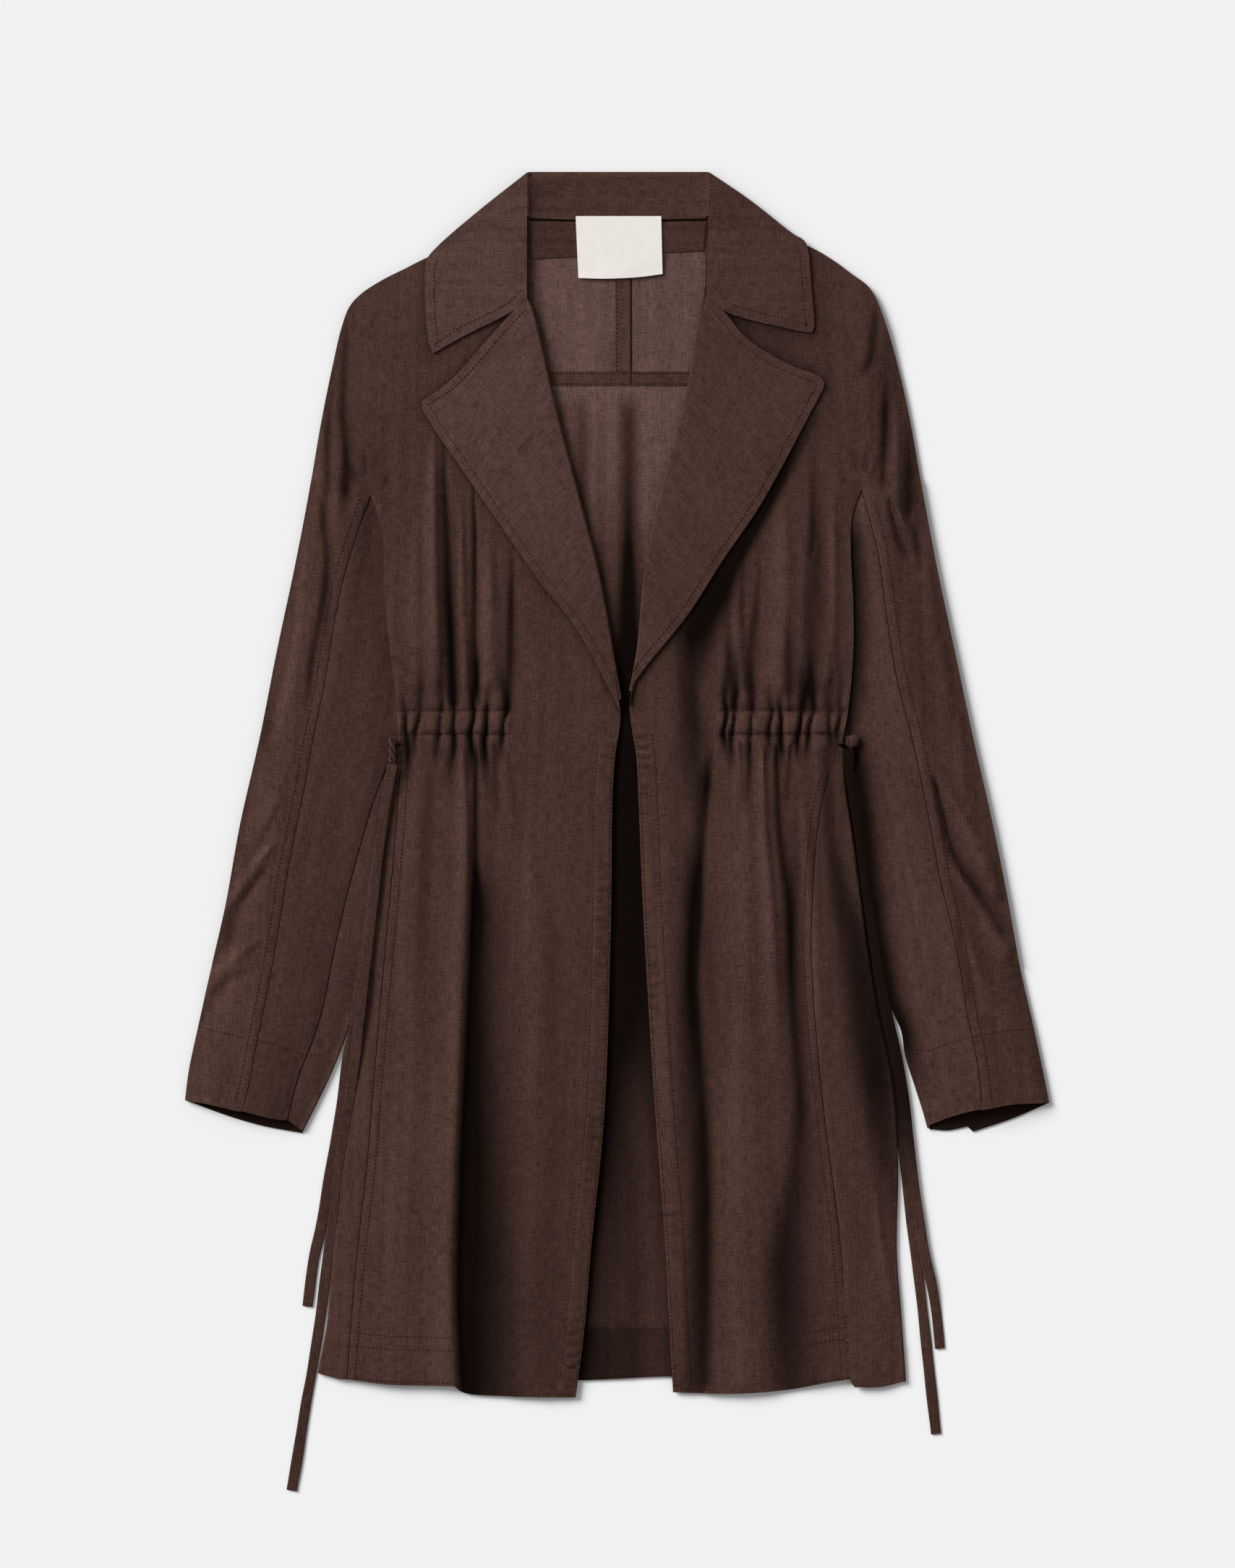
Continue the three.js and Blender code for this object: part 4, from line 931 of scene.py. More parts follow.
def flat_at(height):
    """A flat top or bottom for a shell"""
    return lambda x, y: np.full(len(x), float(height))


def laid_cloth(outline, top, layers=1.0, spacing_at=None):
    """A shell as thick as the cloth, below its top"""
    wall = bpy.context.scene.coat_sizes.cloth_thickness / MM
    return shell(outline, top, lambda x, y: top(x, y) - wall, layers=layers, spacing_at=spacing_at)


def flat_shell(outline, low, high, layers=1.0):
    return shell(np.asarray(outline, float), flat_at(high), flat_at(low), STEP_HIDDEN, STEP_HIDDEN, layers)


def swept(rings, layers=1.0):
    """A closed body through rings of points, each ring going round the same way"""
    rings = np.array(rings, float)
    count, size = rings.shape[:2]
    points = rings.reshape(-1, 3)
    faces = []
    for k in range(count - 1):
        for j in range(size):
            a = k * size + j
            b = k * size + (j + 1) % size
            faces.append((a, b, b + size))
            faces.append((a, b + size, a + size))
    last = (count - 1) * size
    for j in range(1, size - 1):
        faces.append((0, j + 1, j))
        faces.append((last, last + j, last + j + 1))
    faces = np.array(faces)
    tri = points[faces]
    volume = np.einsum("ij,ij->i", tri[:, 0], np.cross(tri[:, 1], tri[:, 2])).sum()
    if volume < 0:
        faces = faces[:, ::-1]
    return points, faces, np.repeat(np.broadcast_to(layers, count).astype(float), size)


def rolled_edge(line, low, high, bulge, side_sign, layers=1.0):
    """The rounded turn where cloth folds over, from a low level to a high one along a line"""
    out = normals_of(line) * side_sign
    angles = np.radians(np.linspace(90, -90, 9))
    low = np.broadcast_to(low, len(line))
    high = np.broadcast_to(high, len(line))
    bulge = np.broadcast_to(bulge, len(line))
    rings = []
    for (x, y), (nx, ny), z0, z1, most in zip(line[:, :2], out, low, high, bulge):
        reach = most * np.cos(angles)
        level = 0.5 * (z0 + z1) + 0.5 * (z1 - z0) * np.sin(angles)
        rings.append(np.column_stack((x + nx * reach, y + ny * reach, level)))
    return swept(rings, layers)


def frames_along(path):
    """The direction of a path, and a level direction across it"""
    along = np.gradient(path, axis=0)
    along /= np.linalg.norm(along, axis=1, keepdims=True)
    across = np.cross(along, (0, 0, 1))
    across /= np.maximum(np.linalg.norm(across, axis=1, keepdims=True), 1e-9)
    return along, across


def tube(path, radius, size=10):
    """A round strand along a path"""
    along = np.gradient(path, axis=0)
    along /= np.linalg.norm(along, axis=1, keepdims=True)
    normal = np.cross(along[0], (0.3, 0.2, 1.0))
    normal /= np.linalg.norm(normal)
    rings = []
    angles = np.linspace(0, 2 * math.pi, size, endpoint=False)
    for centre, way in zip(path, along):
        normal = normal - way * np.dot(normal, way)
        normal /= np.linalg.norm(normal)
        other = np.cross(way, normal)
        rings.append(centre + radius * (np.outer(np.cos(angles), normal) + np.outer(np.sin(angles), other)))
    return swept(rings)


def lumpy_ball(centre, radius, height):
    """A strand wound into a flattened ball, its turns showing as slanting ridges"""
    rings = []
    angles = np.linspace(0, 2 * math.pi, 40, endpoint=False)
    for rise in np.linspace(-0.49 * math.pi, 0.49 * math.pi, 22):
        ridge = 1 - 0.13 * np.exp(-(np.sin(1.5 * angles + 1.3 * rise + 0.5) / 0.3) ** 2)
        reach = radius * math.cos(rise) * ridge
        level = height * math.sin(rise) * np.ones(len(angles))
        rings.append(centre + np.column_stack((reach * np.cos(angles), reach * np.sin(angles), level)))
    return swept(rings)


def flat_cord(path, seed, layers):
    """A flattened tube of cloth, its turned edges fuller than its middle"""
    along, across = frames_along(path)
    up = np.cross(across, along)
    draw = np.random.default_rng(seed)
    phase = draw.uniform(0, 6, 4)
    travelled = np.arange(len(path)) * TIE_STEP
    half = TIE_WIDTH / 2 * (0.93 + 0.05 * np.sin(travelled / 23 + phase[0]) + 0.02 * np.sin(travelled / 7))
    tilt = 0.07 * np.sin(travelled / 31 + phase[1])
    section = [(math.cos(a), math.sin(a)) for a in np.linspace(0, 2 * math.pi, 20, endpoint=False)]
    rings = []
    for k, centre in enumerate(path):
        wrinkle = 0.10 * math.sin(travelled[k] / 5.3 + phase[2])
        wrinkle += 0.07 * math.sin(travelled[k] / 2.9 + phase[3])
        ring = []
        for c, s in section:
            fuller = 0.62 + 0.38 * abs(c) ** 3
            width = half[k] * math.copysign(abs(c) ** 0.7, c)
            thick = TIE_THICKNESS / 2 * s * fuller * (1 + wrinkle) + tilt[k] * width * 0.4
            ring.append(centre + across[k] * width + up[k] * thick)
        rings.append(ring)
    points, faces, _ = swept(rings)
    return points, faces, np.repeat(layers, len(section))


def joined(shells):
    points = []
    faces = []
    layers_and_shade = []
    start = 0
    for some_points, some_faces, some_layers_and_shade in shells:
        points.append(some_points)
        faces.append(some_faces + start)
        layers_and_shade.append(some_layers_and_shade)
        start += len(some_points)
    return np.vstack(points), np.vstack(faces), np.concatenate(layers_and_shade)


def make_piece(name, shells, slot, stands_for, grain=0.0):
    """One object in metres, with the grain of its cloth as a UV map and its layers and painted shade as an
    attribute
    """
    points, faces, layers_and_shade = joined(shells)
    placed = (points + (SHIFT_X, SHIFT_Y, 0)) * MM
    mesh = bpy.data.meshes.new(name)
    mesh.from_pydata(placed.tolist(), [], faces.tolist())
    corners = np.empty(len(mesh.loops), np.int32)
    mesh.loops.foreach_get("vertex_index", corners)
    turn = math.radians(grain)
    u = placed[:, 0] * math.cos(turn) + placed[:, 1] * math.sin(turn)
    v = placed[:, 1] * math.cos(turn) - placed[:, 0] * math.sin(turn)
    layer = mesh.uv_layers.new(name="grain")
    layer.data.foreach_set("uv", np.column_stack((u, v))[corners].astype(np.float32).ravel())
    attribute = mesh.attributes.new("cloth_layers_and_shade", "FLOAT", "POINT")
    attribute.data.foreach_set("value", layers_and_shade.astype(np.float32))
    mesh.polygons.foreach_set("use_smooth", np.ones(len(mesh.polygons), bool))
    mesh.set_sharp_from_angle(angle=math.radians(SHARP_ANGLE))
    mesh.materials.append(cloth_of(FINISHES[slot]))
    mesh.update()
    piece = bpy.data.objects.new(name, mesh)
    bpy.context.scene.collection.objects.link(piece)
    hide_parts(stands_for)
    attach(piece, "root")
    return piece


def declare_cut(piece, outlines, allowance=1.05):
    """Works out the flat cut of a sewn piece, its area with the seam allowances and a box that holds it, but
    keeps none of it
    """
    area = allowance * sum(area_of(outline) for outline in outlines)
    points = np.vstack([np.asarray(outline, float) for outline in outlines])
    width, length = points.max(0) - points.min(0)
    if area > width * length:
        width = area / length


# Materials


def linear(red, green, blue):
    def one(value):
        value /= 255
        return value / 12.92 if value <= 0.04045 else ((value + 0.055) / 1.055) ** 2.4
    return one(red), one(green), one(blue)


def add_node(tree, kind, **values):
    node = tree.nodes.new(kind)
    for key, value in values.items():
        setattr(node, key, value)
    return node


def noise_along(tree, grain, scale, detail=2.0):
    """Noise stretched by a scale across and along the grain"""
    mapping = add_node(tree, "ShaderNodeMapping")
    mapping.inputs["Scale"].default_value = (*scale, 1)
    noise = add_node(tree, "ShaderNodeTexNoise", noise_dimensions="2D")
    noise.inputs["Scale"].default_value = 1
    noise.inputs["Detail"].default_value = detail
    tree.links.new(grain, mapping.inputs["Vector"])
    tree.links.new(mapping.outputs["Vector"], noise.inputs["Vector"])
    return noise.outputs["Fac"]


def threads(tree, grain, direction, pitch):
    mapping = add_node(tree, "ShaderNodeMapping")
    mapping.inputs["Scale"].default_value = (1 / pitch, 1 / pitch, 1)
    wave = add_node(tree, "ShaderNodeTexWave", bands_direction=direction)
    wave.inputs["Scale"].default_value = math.pi / 10
    wave.inputs["Distortion"].default_value = 0.6
    wave.inputs["Detail"].default_value = 1
    tree.links.new(grain, mapping.inputs["Vector"])
    tree.links.new(mapping.outputs["Vector"], wave.inputs["Vector"])
    return wave.outputs["Fac"]


def math_node(tree, operation, first, second):
    node = add_node(tree, "ShaderNodeMath", operation=operation)
    for socket, value in zip(node.inputs, (first, second)):
        if isinstance(value, (int, float)):
            socket.default_value = value
        else:
            tree.links.new(value, socket)
    return node.outputs[0]


def weighted(tree, terms):
    """A sum of values, each taken about its middle and multiplied by its weight"""
    total = 0.5
    for value, weight in terms:
        centred = math_node(tree, "SUBTRACT", value, 0.5)
        total = math_node(tree, "ADD", math_node(tree, "MULTIPLY", centred, weight), total)
    return total


def mix_colours(tree, factor, first, second):
    node = add_node(tree, "ShaderNodeMix", data_type="RGBA")
    tree.links.new(factor, node.inputs["Factor"])
    for name, value in (("A", first), ("B", second)):
        socket = next(s for s in node.inputs if s.name == name and s.type == "RGBA")
        if isinstance(value, tuple):
            socket.default_value = (*value, 1)
        else:
            tree.links.new(value, socket)
    return next(s for s in node.outputs if s.type == "RGBA")


def woven_cloth(name, close, sheer, deep, contrast, bump, roughness=0.8, pitch=0.0007):
    """Linen-like voile: uneven threads both ways, slubs and mottling, darker where it lies in layers, and
    darker still with painted shade towards the deep colour
    """
    material = bpy.data.materials.new(name)
    material.use_nodes = True
    tree = material.node_tree
    shader = tree.nodes["Principled BSDF"]
    grain = add_node(tree, "ShaderNodeUVMap", uv_map="grain").outputs["UV"]
    layers = add_node(tree, "ShaderNodeAttribute", attribute_name="cloth_layers_and_shade").outputs["Fac"]
    warp = noise_along(tree, grain, (1300, 130))
    weft = noise_along(tree, grain, (130, 1300))
    slub = noise_along(tree, grain, (24, 380), 3.0)
    streak = noise_along(tree, grain, (190, 7), 3.0)
    mottle = noise_along(tree, grain, (110, 60), 4.0)
    cloud = noise_along(tree, grain, (14, 9), 2.0)
    over = threads(tree, grain, "X", pitch)
    across = threads(tree, grain, "Y", pitch)
    tone = weighted(tree, ((warp, 1.4), (weft, 1.3), (slub, 0.2), (streak, 0.55), (mottle, 0.4),
                           (cloud, 0.4), (over, 0.1), (across, 0.1)))

    def pair(colour):
        return mix_colours(tree, tone, tuple(c * (1 - contrast) for c in colour),
                           tuple(c * (1 + contrast) for c in colour))

    # Up to one the value goes from a single sheer layer to close cloth; above one it is painted shade, mixed
    # towards the deep-shade colour
    first = math_node(tree, "MINIMUM", layers, 1.0)
    second = math_node(tree, "SUBTRACT", layers, 1.0)
    light = mix_colours(tree, first, pair(sheer), pair(close))
    tree.links.new(mix_colours(tree, second, light, deep), shader.inputs["Base Color"])
    relief = weighted(tree, ((warp, 0.6), (weft, 0.6), (slub, 0.6), (over, 0.35), (across, 0.35)))
    raised = add_node(tree, "ShaderNodeBump")
    raised.inputs["Strength"].default_value = bump
    raised.inputs["Distance"].default_value = 0.0003
    tree.links.new(relief, raised.inputs["Height"])
    tree.links.new(raised.outputs["Normal"], shader.inputs["Normal"])
    shader.inputs["Roughness"].default_value = roughness
    shader.inputs["Sheen Weight"].default_value = 0.04
    shader.inputs["Sheen Roughness"].default_value = 0.4
    shader.inputs["Sheen Tint"].default_value = (*(min(1.0, 5 * c) for c in close), 1)
    shader.inputs["Specular IOR Level"].default_value = 0.03
    return material


def cloth_of(kind):
    """Each finish is made once, when the first piece asks for it"""
    made = bpy.data.materials.get(kind)
    if made:
        return made
    sizes = bpy.context.scene.coat_sizes
    cloth = tuple(sizes.cloth_colour)
    sheer = tuple(sizes.sheer_colour)
    deep = tuple(sizes.deep_shade_colour)
    if kind == "front_voile":
        return woven_cloth(kind, cloth, sheer, deep, 0.42, 0.6)
    if kind == "back_voile":
        return woven_cloth(kind, cloth, sheer, deep, 0.4, 0.5)
    if kind == "tie_voile":
        return woven_cloth(kind, tuple(0.85 * c for c in cloth), cloth, deep, 0.45, 0.6)
    if kind == "label_satin":
        label = tuple(sizes.label_colour)
        return woven_cloth(kind, label, label, label, 0.03, 0.3, 0.6, 0.0004)
    thread = tuple(sizes.thread_colour)
    return woven_cloth(kind, thread, thread, deep, 0.2, 0.3, 0.6)


# Outlines of the sewn pieces


def front_outline(side):
    table = side.table
    s = side.sign
    seam = np.array(table["seam"], float)
    raw_side = np.array(table["side"], float)
    cuff = [p for p in table["cuff_front"][1:] if abs(p[0]) > abs(edge_x(seam, p[1])) + 1]
    body_side = part(raw_side, UNDERARM_Y + 10, SIDE_SEAM_TOP_Y + 1)[1:]
    raw = [
        *table["outer"], *cuff,
        *shifted(seam, s * GAP / 2)[::-1],
        *body_side,
        *shifted(table["side_seam"], -s * GAP / 2),
        *table["hem"][1:],
        *table["opening"][-2:0:-1],
    ]
    return outline_through(raw)


def sleeve_fold(side):
    """The fold along the inside of a sleeve, kept clear of the side of the skirt"""
    raw_side = np.array(side.table["side"], float)
    inner = np.array(side.table["inner"], float)
    fold = part(inner, 18, -300)
    if side.rear_seam is None:
        fold = np.vstack(((edge_x(inner, 26), 26), fold))
    clear = np.abs(edge_x(raw_side, fold[:, 1])) + 2 * GAP
    fold[:, 0] = side.sign * np.maximum(np.abs(fold[:, 0]), clear)
    return fold


def under_sleeve_outline(side):
    table = side.table
    s = side.sign
    seam = np.array(table["seam"], float)
    rear = None if table["rear_seam"] is None else np.array(table["rear_seam"], float)
    far = sleeve_fold(side) if rear is None else shifted(rear, s * GAP / 2)
    cuff = [p for p in table["cuff_front"] if abs(p[0]) < abs(edge_x(seam, p[1])) - 1
            and (rear is None or abs(p[0]) > abs(edge_x(rear, p[1])) + 1)]
    hidden = part(np.array(table["inner"], float), 200, 31)
    raw = [*shifted(seam, -s * GAP / 2), *cuff, *far[::-1], *hidden[::-1]]
    return outline_through(raw)


def yoke_outline(side):
    table = side.table
    s = side.sign
    centre = CENTRE_BACK_X + s * GAP / 2
    neck_y = NECK_Y - 3.5
    beside_body = shifted(part(np.array(table["side"], float), UNDERARM_Y + 10, 20), s * GAP)
    raw = [
        (centre, neck_y - 1), *[(x, min(y, neck_y)) for x, y in table["outer"]],
        *table["cuff_back"][1:], *sleeve_fold(side)[::-1][1:], *beside_body[::-1],
        (table["side"][0][0] + s * GAP, YOKE_SEAM_Y + GAP), (centre, YOKE_SEAM_Y + GAP),
    ]
    return outline_through(raw, 4.0)


def back_lower_outline():
    left = LEFT.table["side"]
    right = RIGHT.table["side"]
    raw = [
        (left[0][0], YOKE_SEAM_Y), *left, (-205, -453), (-28, -454), (43, -451), (177, -452),
        *right[::-1], (right[0][0], YOKE_SEAM_Y),
    ]
    return outline_through(raw, 3.0)


def shaded_pleat():
    """The back cloth that lies in the shade between the right side of the skirt and the sleeve, painted all
    over in the colour of deep shade
    """
    ys = np.linspace(SIDE_SEAM_TOP_Y, -172, 16)
    near = np.column_stack((edge_x(RIGHT.side, ys) - 1, ys))
    far = np.column_stack((edge_x(RIGHT.inner, ys) + 1.5, ys))
    return np.vstack((near, far[::-1]))


def wrap_outline(side):
    """The stretch of the back that wraps round the side of the skirt to the side seam"""
    s = side.sign
    table = side.table
    raw_side = np.array(table["side"], float)
    top_y = SIDE_SEAM_TOP_Y - 3
    fold = np.vstack(((edge_x(raw_side, top_y), top_y), part(raw_side, top_y, -500)))
    seam = shifted(table["side_seam"], s * GAP / 2)
    return fold, outline_through([*fold, *table["wrap_hem"], *seam[::-1]])


# Stitching


def stitch_nodes():
    """Small stitches at an even pitch along each row, lying along it"""
    tree = bpy.data.node_groups.get("Stitch rows")
    if tree:
        return tree
    tree = bpy.data.node_groups.new("Stitch rows", "GeometryNodeTree")
    face = tree.interface
    face.new_socket("Geometry", in_out="INPUT", socket_type="NodeSocketGeometry")
    for name in ("Pitch", "Length", "Width"):
        face.new_socket(name, in_out="INPUT", socket_type="NodeSocketFloat")
    face.new_socket("Thread", in_out="INPUT", socket_type="NodeSocketMaterial")
    face.new_socket("Geometry", in_out="OUTPUT", socket_type="NodeSocketGeometry")
    given = add_node(tree, "NodeGroupInput")
    result = add_node(tree, "NodeGroupOutput")
    curve = add_node(tree, "GeometryNodeMeshToCurve")
    resample = add_node(tree, "GeometryNodeResampleCurve")
    spaced = next(s for s in resample.inputs if s.name == "Length")
    resample.mode = "LENGTH"
    tangent = add_node(tree, "GeometryNodeInputTangent")
    turn = add_node(tree, "FunctionNodeAlignRotationToVector", axis="X")
    uneven = add_node(tree, "FunctionNodeRandomValue", data_type="FLOAT")
    uneven.inputs["Seed"].default_value = 4
    low, high = [s for s in uneven.inputs if s.name in ("Min", "Max") and s.type == "VALUE"][:2]
    low.default_value = 0.8
    high.default_value = 1.15
    bead = add_node(tree, "GeometryNodeMeshUVSphere")
    bead.inputs["Segments"].default_value = 6
    bead.inputs["Rings"].default_value = 4
    bead.inputs["Radius"].default_value = 0.5
    size = add_node(tree, "ShaderNodeCombineXYZ")
    shaped = add_node(tree, "GeometryNodeTransform")
    placed = add_node(tree, "GeometryNodeInstanceOnPoints")
    scale = add_node(tree, "ShaderNodeCombineXYZ")
    scale.inputs["Y"].default_value = 1
    scale.inputs["Z"].default_value = 1
    real = add_node(tree, "GeometryNodeRealizeInstances")
    dressed = add_node(tree, "GeometryNodeSetMaterial")
    smoothed = add_node(tree, "GeometryNodeSetShadeSmooth")
    for start, end in (
        (given.outputs["Geometry"], curve.inputs[0]),
        (curve.outputs[0], resample.inputs["Curve"]),
        (given.outputs["Pitch"], spaced),
        (resample.outputs[0], placed.inputs["Points"]),
        (tangent.outputs[0], turn.inputs["Vector"]),
        (turn.outputs[0], placed.inputs["Rotation"]),
        (given.outputs["Length"], size.inputs["X"]),
        (given.outputs["Width"], size.inputs["Y"]),
        (given.outputs["Width"], size.inputs["Z"]),
        (bead.outputs["Mesh"], shaped.inputs["Geometry"]),
        (size.outputs[0], shaped.inputs["Scale"]),
        (shaped.outputs[0], placed.inputs["Instance"]),
        (next(s for s in uneven.outputs if s.type == "VALUE"), scale.inputs["X"]),
        (scale.outputs[0], placed.inputs["Scale"]),
        (placed.outputs[0], real.inputs[0]),
        (real.outputs[0], smoothed.inputs[0]),
        (smoothed.outputs[0], dressed.inputs["Geometry"]),
        (given.outputs["Thread"], dressed.inputs["Material"]),
        (dressed.outputs[0], result.inputs["Geometry"]),
    ):
        tree.links.new(start, end)
    return tree


def make_stitches(name, rows, height_at):
    """The stitches of one group of rows, each row laid on the cloth below it"""
    sizes = bpy.context.scene.coat_sizes
    points = []
    edges = []
    for row in rows:
        line = curve_through(row, STITCH_STEP)
        z = height_at(line[:, 0], line[:, 1]) + STITCH_LIFT
        start = len(points)
        placed = (np.column_stack((line, z)) + (SHIFT_X, SHIFT_Y, 0)) * MM
        points.extend(placed.tolist())
        edges.extend((start + k, start + k + 1) for k in range(len(line) - 1))
    mesh = bpy.data.meshes.new(name)
    mesh.from_pydata(points, edges, [])
    guide = bpy.data.objects.new(name, mesh)
    bpy.context.scene.collection.objects.link(guide)
    tree = stitch_nodes()
    modifier = guide.modifiers.new("Stitches", "NODES")
    modifier.node_group = tree
    values = {
        "Pitch": sizes.stitch_pitch,
        "Length": sizes.stitch_length,
        "Width": sizes.stitch_width,
        "Thread": cloth_of("thread"),
    }
    for socket in tree.interface.items_tree:
        if socket.in_out == "INPUT" and socket.name in values:
            modifier[socket.identifier] = values[socket.name]
    evaluated = guide.evaluated_get(bpy.context.evaluated_depsgraph_get())
    guide_mesh = bpy.data.meshes.new_from_object(evaluated)
    guide.modifiers.clear()
    guide.data = guide_mesh
    guide_mesh.name = name
    bpy.data.meshes.remove(mesh)
    grain = guide_mesh.uv_layers.get("grain") or guide_mesh.uv_layers.new(name="grain")
    corners = np.empty(len(guide_mesh.loops), np.int32)
    guide_mesh.loops.foreach_get("vertex_index", corners)
    spots = np.empty(3 * len(guide_mesh.vertices), np.float32)
    guide_mesh.vertices.foreach_get("co", spots)
    grain.data.foreach_set("uv", spots.reshape(-1, 3)[corners][:, :2].ravel())
    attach(guide, "root")
    return guide


def front_rows(side):
    """Rows on a front: casing, facing, hem, cuff and the felled seams"""
    s = side.sign
    xs = [row[0] for row in side.gathers]
    ends = np.linspace(min(xs) - 4, max(xs) + 4, 40)
    rows = [[(x, WAIST_Y + level) for x in ends] for level in (CASING_HALF, -CASING_HALF)]
    below = part(side.opening, side.break_y - 20, HEM_Y + 4)
    rows.append(beside(below, s * FACING_WIDTH))
    rows.append(beside(below, s * 1.8))
    for start, end, above in HEM_ROWS[side.name]:
        xs = np.linspace(start, end, 12)
        rows.append(np.column_stack((xs, hem_line(side, xs) + above)))
    seam_x = abs(edge_x(side.seam, CUFF_ROW_Y))
    outer_x = abs(edge_x(side.outer, CUFF_ROW_Y))
    across = np.linspace(seam_x + 2, outer_x - 2, 16) * s
    rows.append(np.column_stack((across, cuff_line(side, across) + CUFF_DEPTH)))
    rows.append(beside(part(side.seam, UNDERARM_Y - 4, -244), 7 * s))
    if s < 0:
        rows.extend([(-186.5, y), (-184, y), (-181, y - 0.5)] for y in BAR_TACK_YS)
    rows.append(beside(part(side.side_seam, 10, HEM_Y), -6 * s))
    return [row for row in rows if len(row) > 2]


def under_rows(side):
    """The row of the cuff, where it crosses the under-sleeve"""
    inner = side.inner if side.rear_seam is None else side.rear_seam
    inner_x = abs(edge_x(inner, CUFF_ROW_Y))
    seam_x = abs(edge_x(side.seam, CUFF_ROW_Y))
    across = np.linspace(inner_x + 2, seam_x - 2, 12) * side.sign
    return [np.column_stack((across, cuff_line(side, across) + CUFF_DEPTH))]


def leaf_rows(side):
    """A row inside the front and lower edges of a collar leaf"""
    leaf = np.array(side.table["leaf"], float)[3:]
    return [beside(curve_through(leaf, ROW_STEP), side.sign * -7)]


def lapel_rows(side):
    """A row inside the upper and outer edges of a lapel"""
    raw = np.array(side.table["lapel"], float)
    low = int(np.argmin(raw[:, 1]))
    edge = curve_through(raw[:low + 1], ROW_STEP)
    return [beside(edge, side.sign * -6)[3:-6]]


# Panel, settings and steps


class CoatSizes(bpy.types.PropertyGroup):
    """Sizes and colours that a user would change"""

    cloth_thickness: bpy.props.FloatProperty(
        name="Cloth thickness", description="Thickness of the cloth that shows", default=0.0009,
        min=0.0003, max=0.0012, subtype="DISTANCE", unit="LENGTH")
    stitch_pitch: bpy.props.FloatProperty(
        name="Stitch pitch", description="Distance from one stitch to the next", default=0.0031,
        min=0.001, max=0.01, subtype="DISTANCE", unit="LENGTH")
    stitch_length: bpy.props.FloatProperty(
        name="Stitch length", description="Length of one stitch", default=0.0021,
        min=0.0005, max=0.01, subtype="DISTANCE", unit="LENGTH")
    stitch_width: bpy.props.FloatProperty(
        name="Thread width", description="Thickness of the sewing thread", default=0.0006,
        min=0.0001, max=0.002, subtype="DISTANCE", unit="LENGTH")
    cloth_colour: bpy.props.FloatVectorProperty(
        name="Cloth", description="Colour of the voile where it lies in layers", subtype="COLOR",
        size=3, min=0, max=1, default=linear(69, 48, 42))
    sheer_colour: bpy.props.FloatVectorProperty(
        name="Single cloth", description="Colour of a single sheer layer over the pale surface",
        subtype="COLOR", size=3, min=0, max=1, default=linear(95, 72, 66))
    # Painted shade: the colour of the cloth deep in its folds and shadows, also used for the thin dark seam
    # lines
    deep_shade_colour: bpy.props.FloatVectorProperty(
        name="Deep folds", description="Colour of the cloth deep in its folds", subtype="COLOR",
        size=3, min=0, max=1, default=linear(13, 6, 4))
    label_colour: bpy.props.FloatVectorProperty(
        name="Label", description="Colour of the woven label", subtype="COLOR",
        size=3, min=0, max=1, default=linear(228, 222, 217))
    thread_colour: bpy.props.FloatVectorProperty(
        name="Thread", description="Colour of the sewing thread", subtype="COLOR",
        size=3, min=0, max=1, default=linear(46, 28, 23))


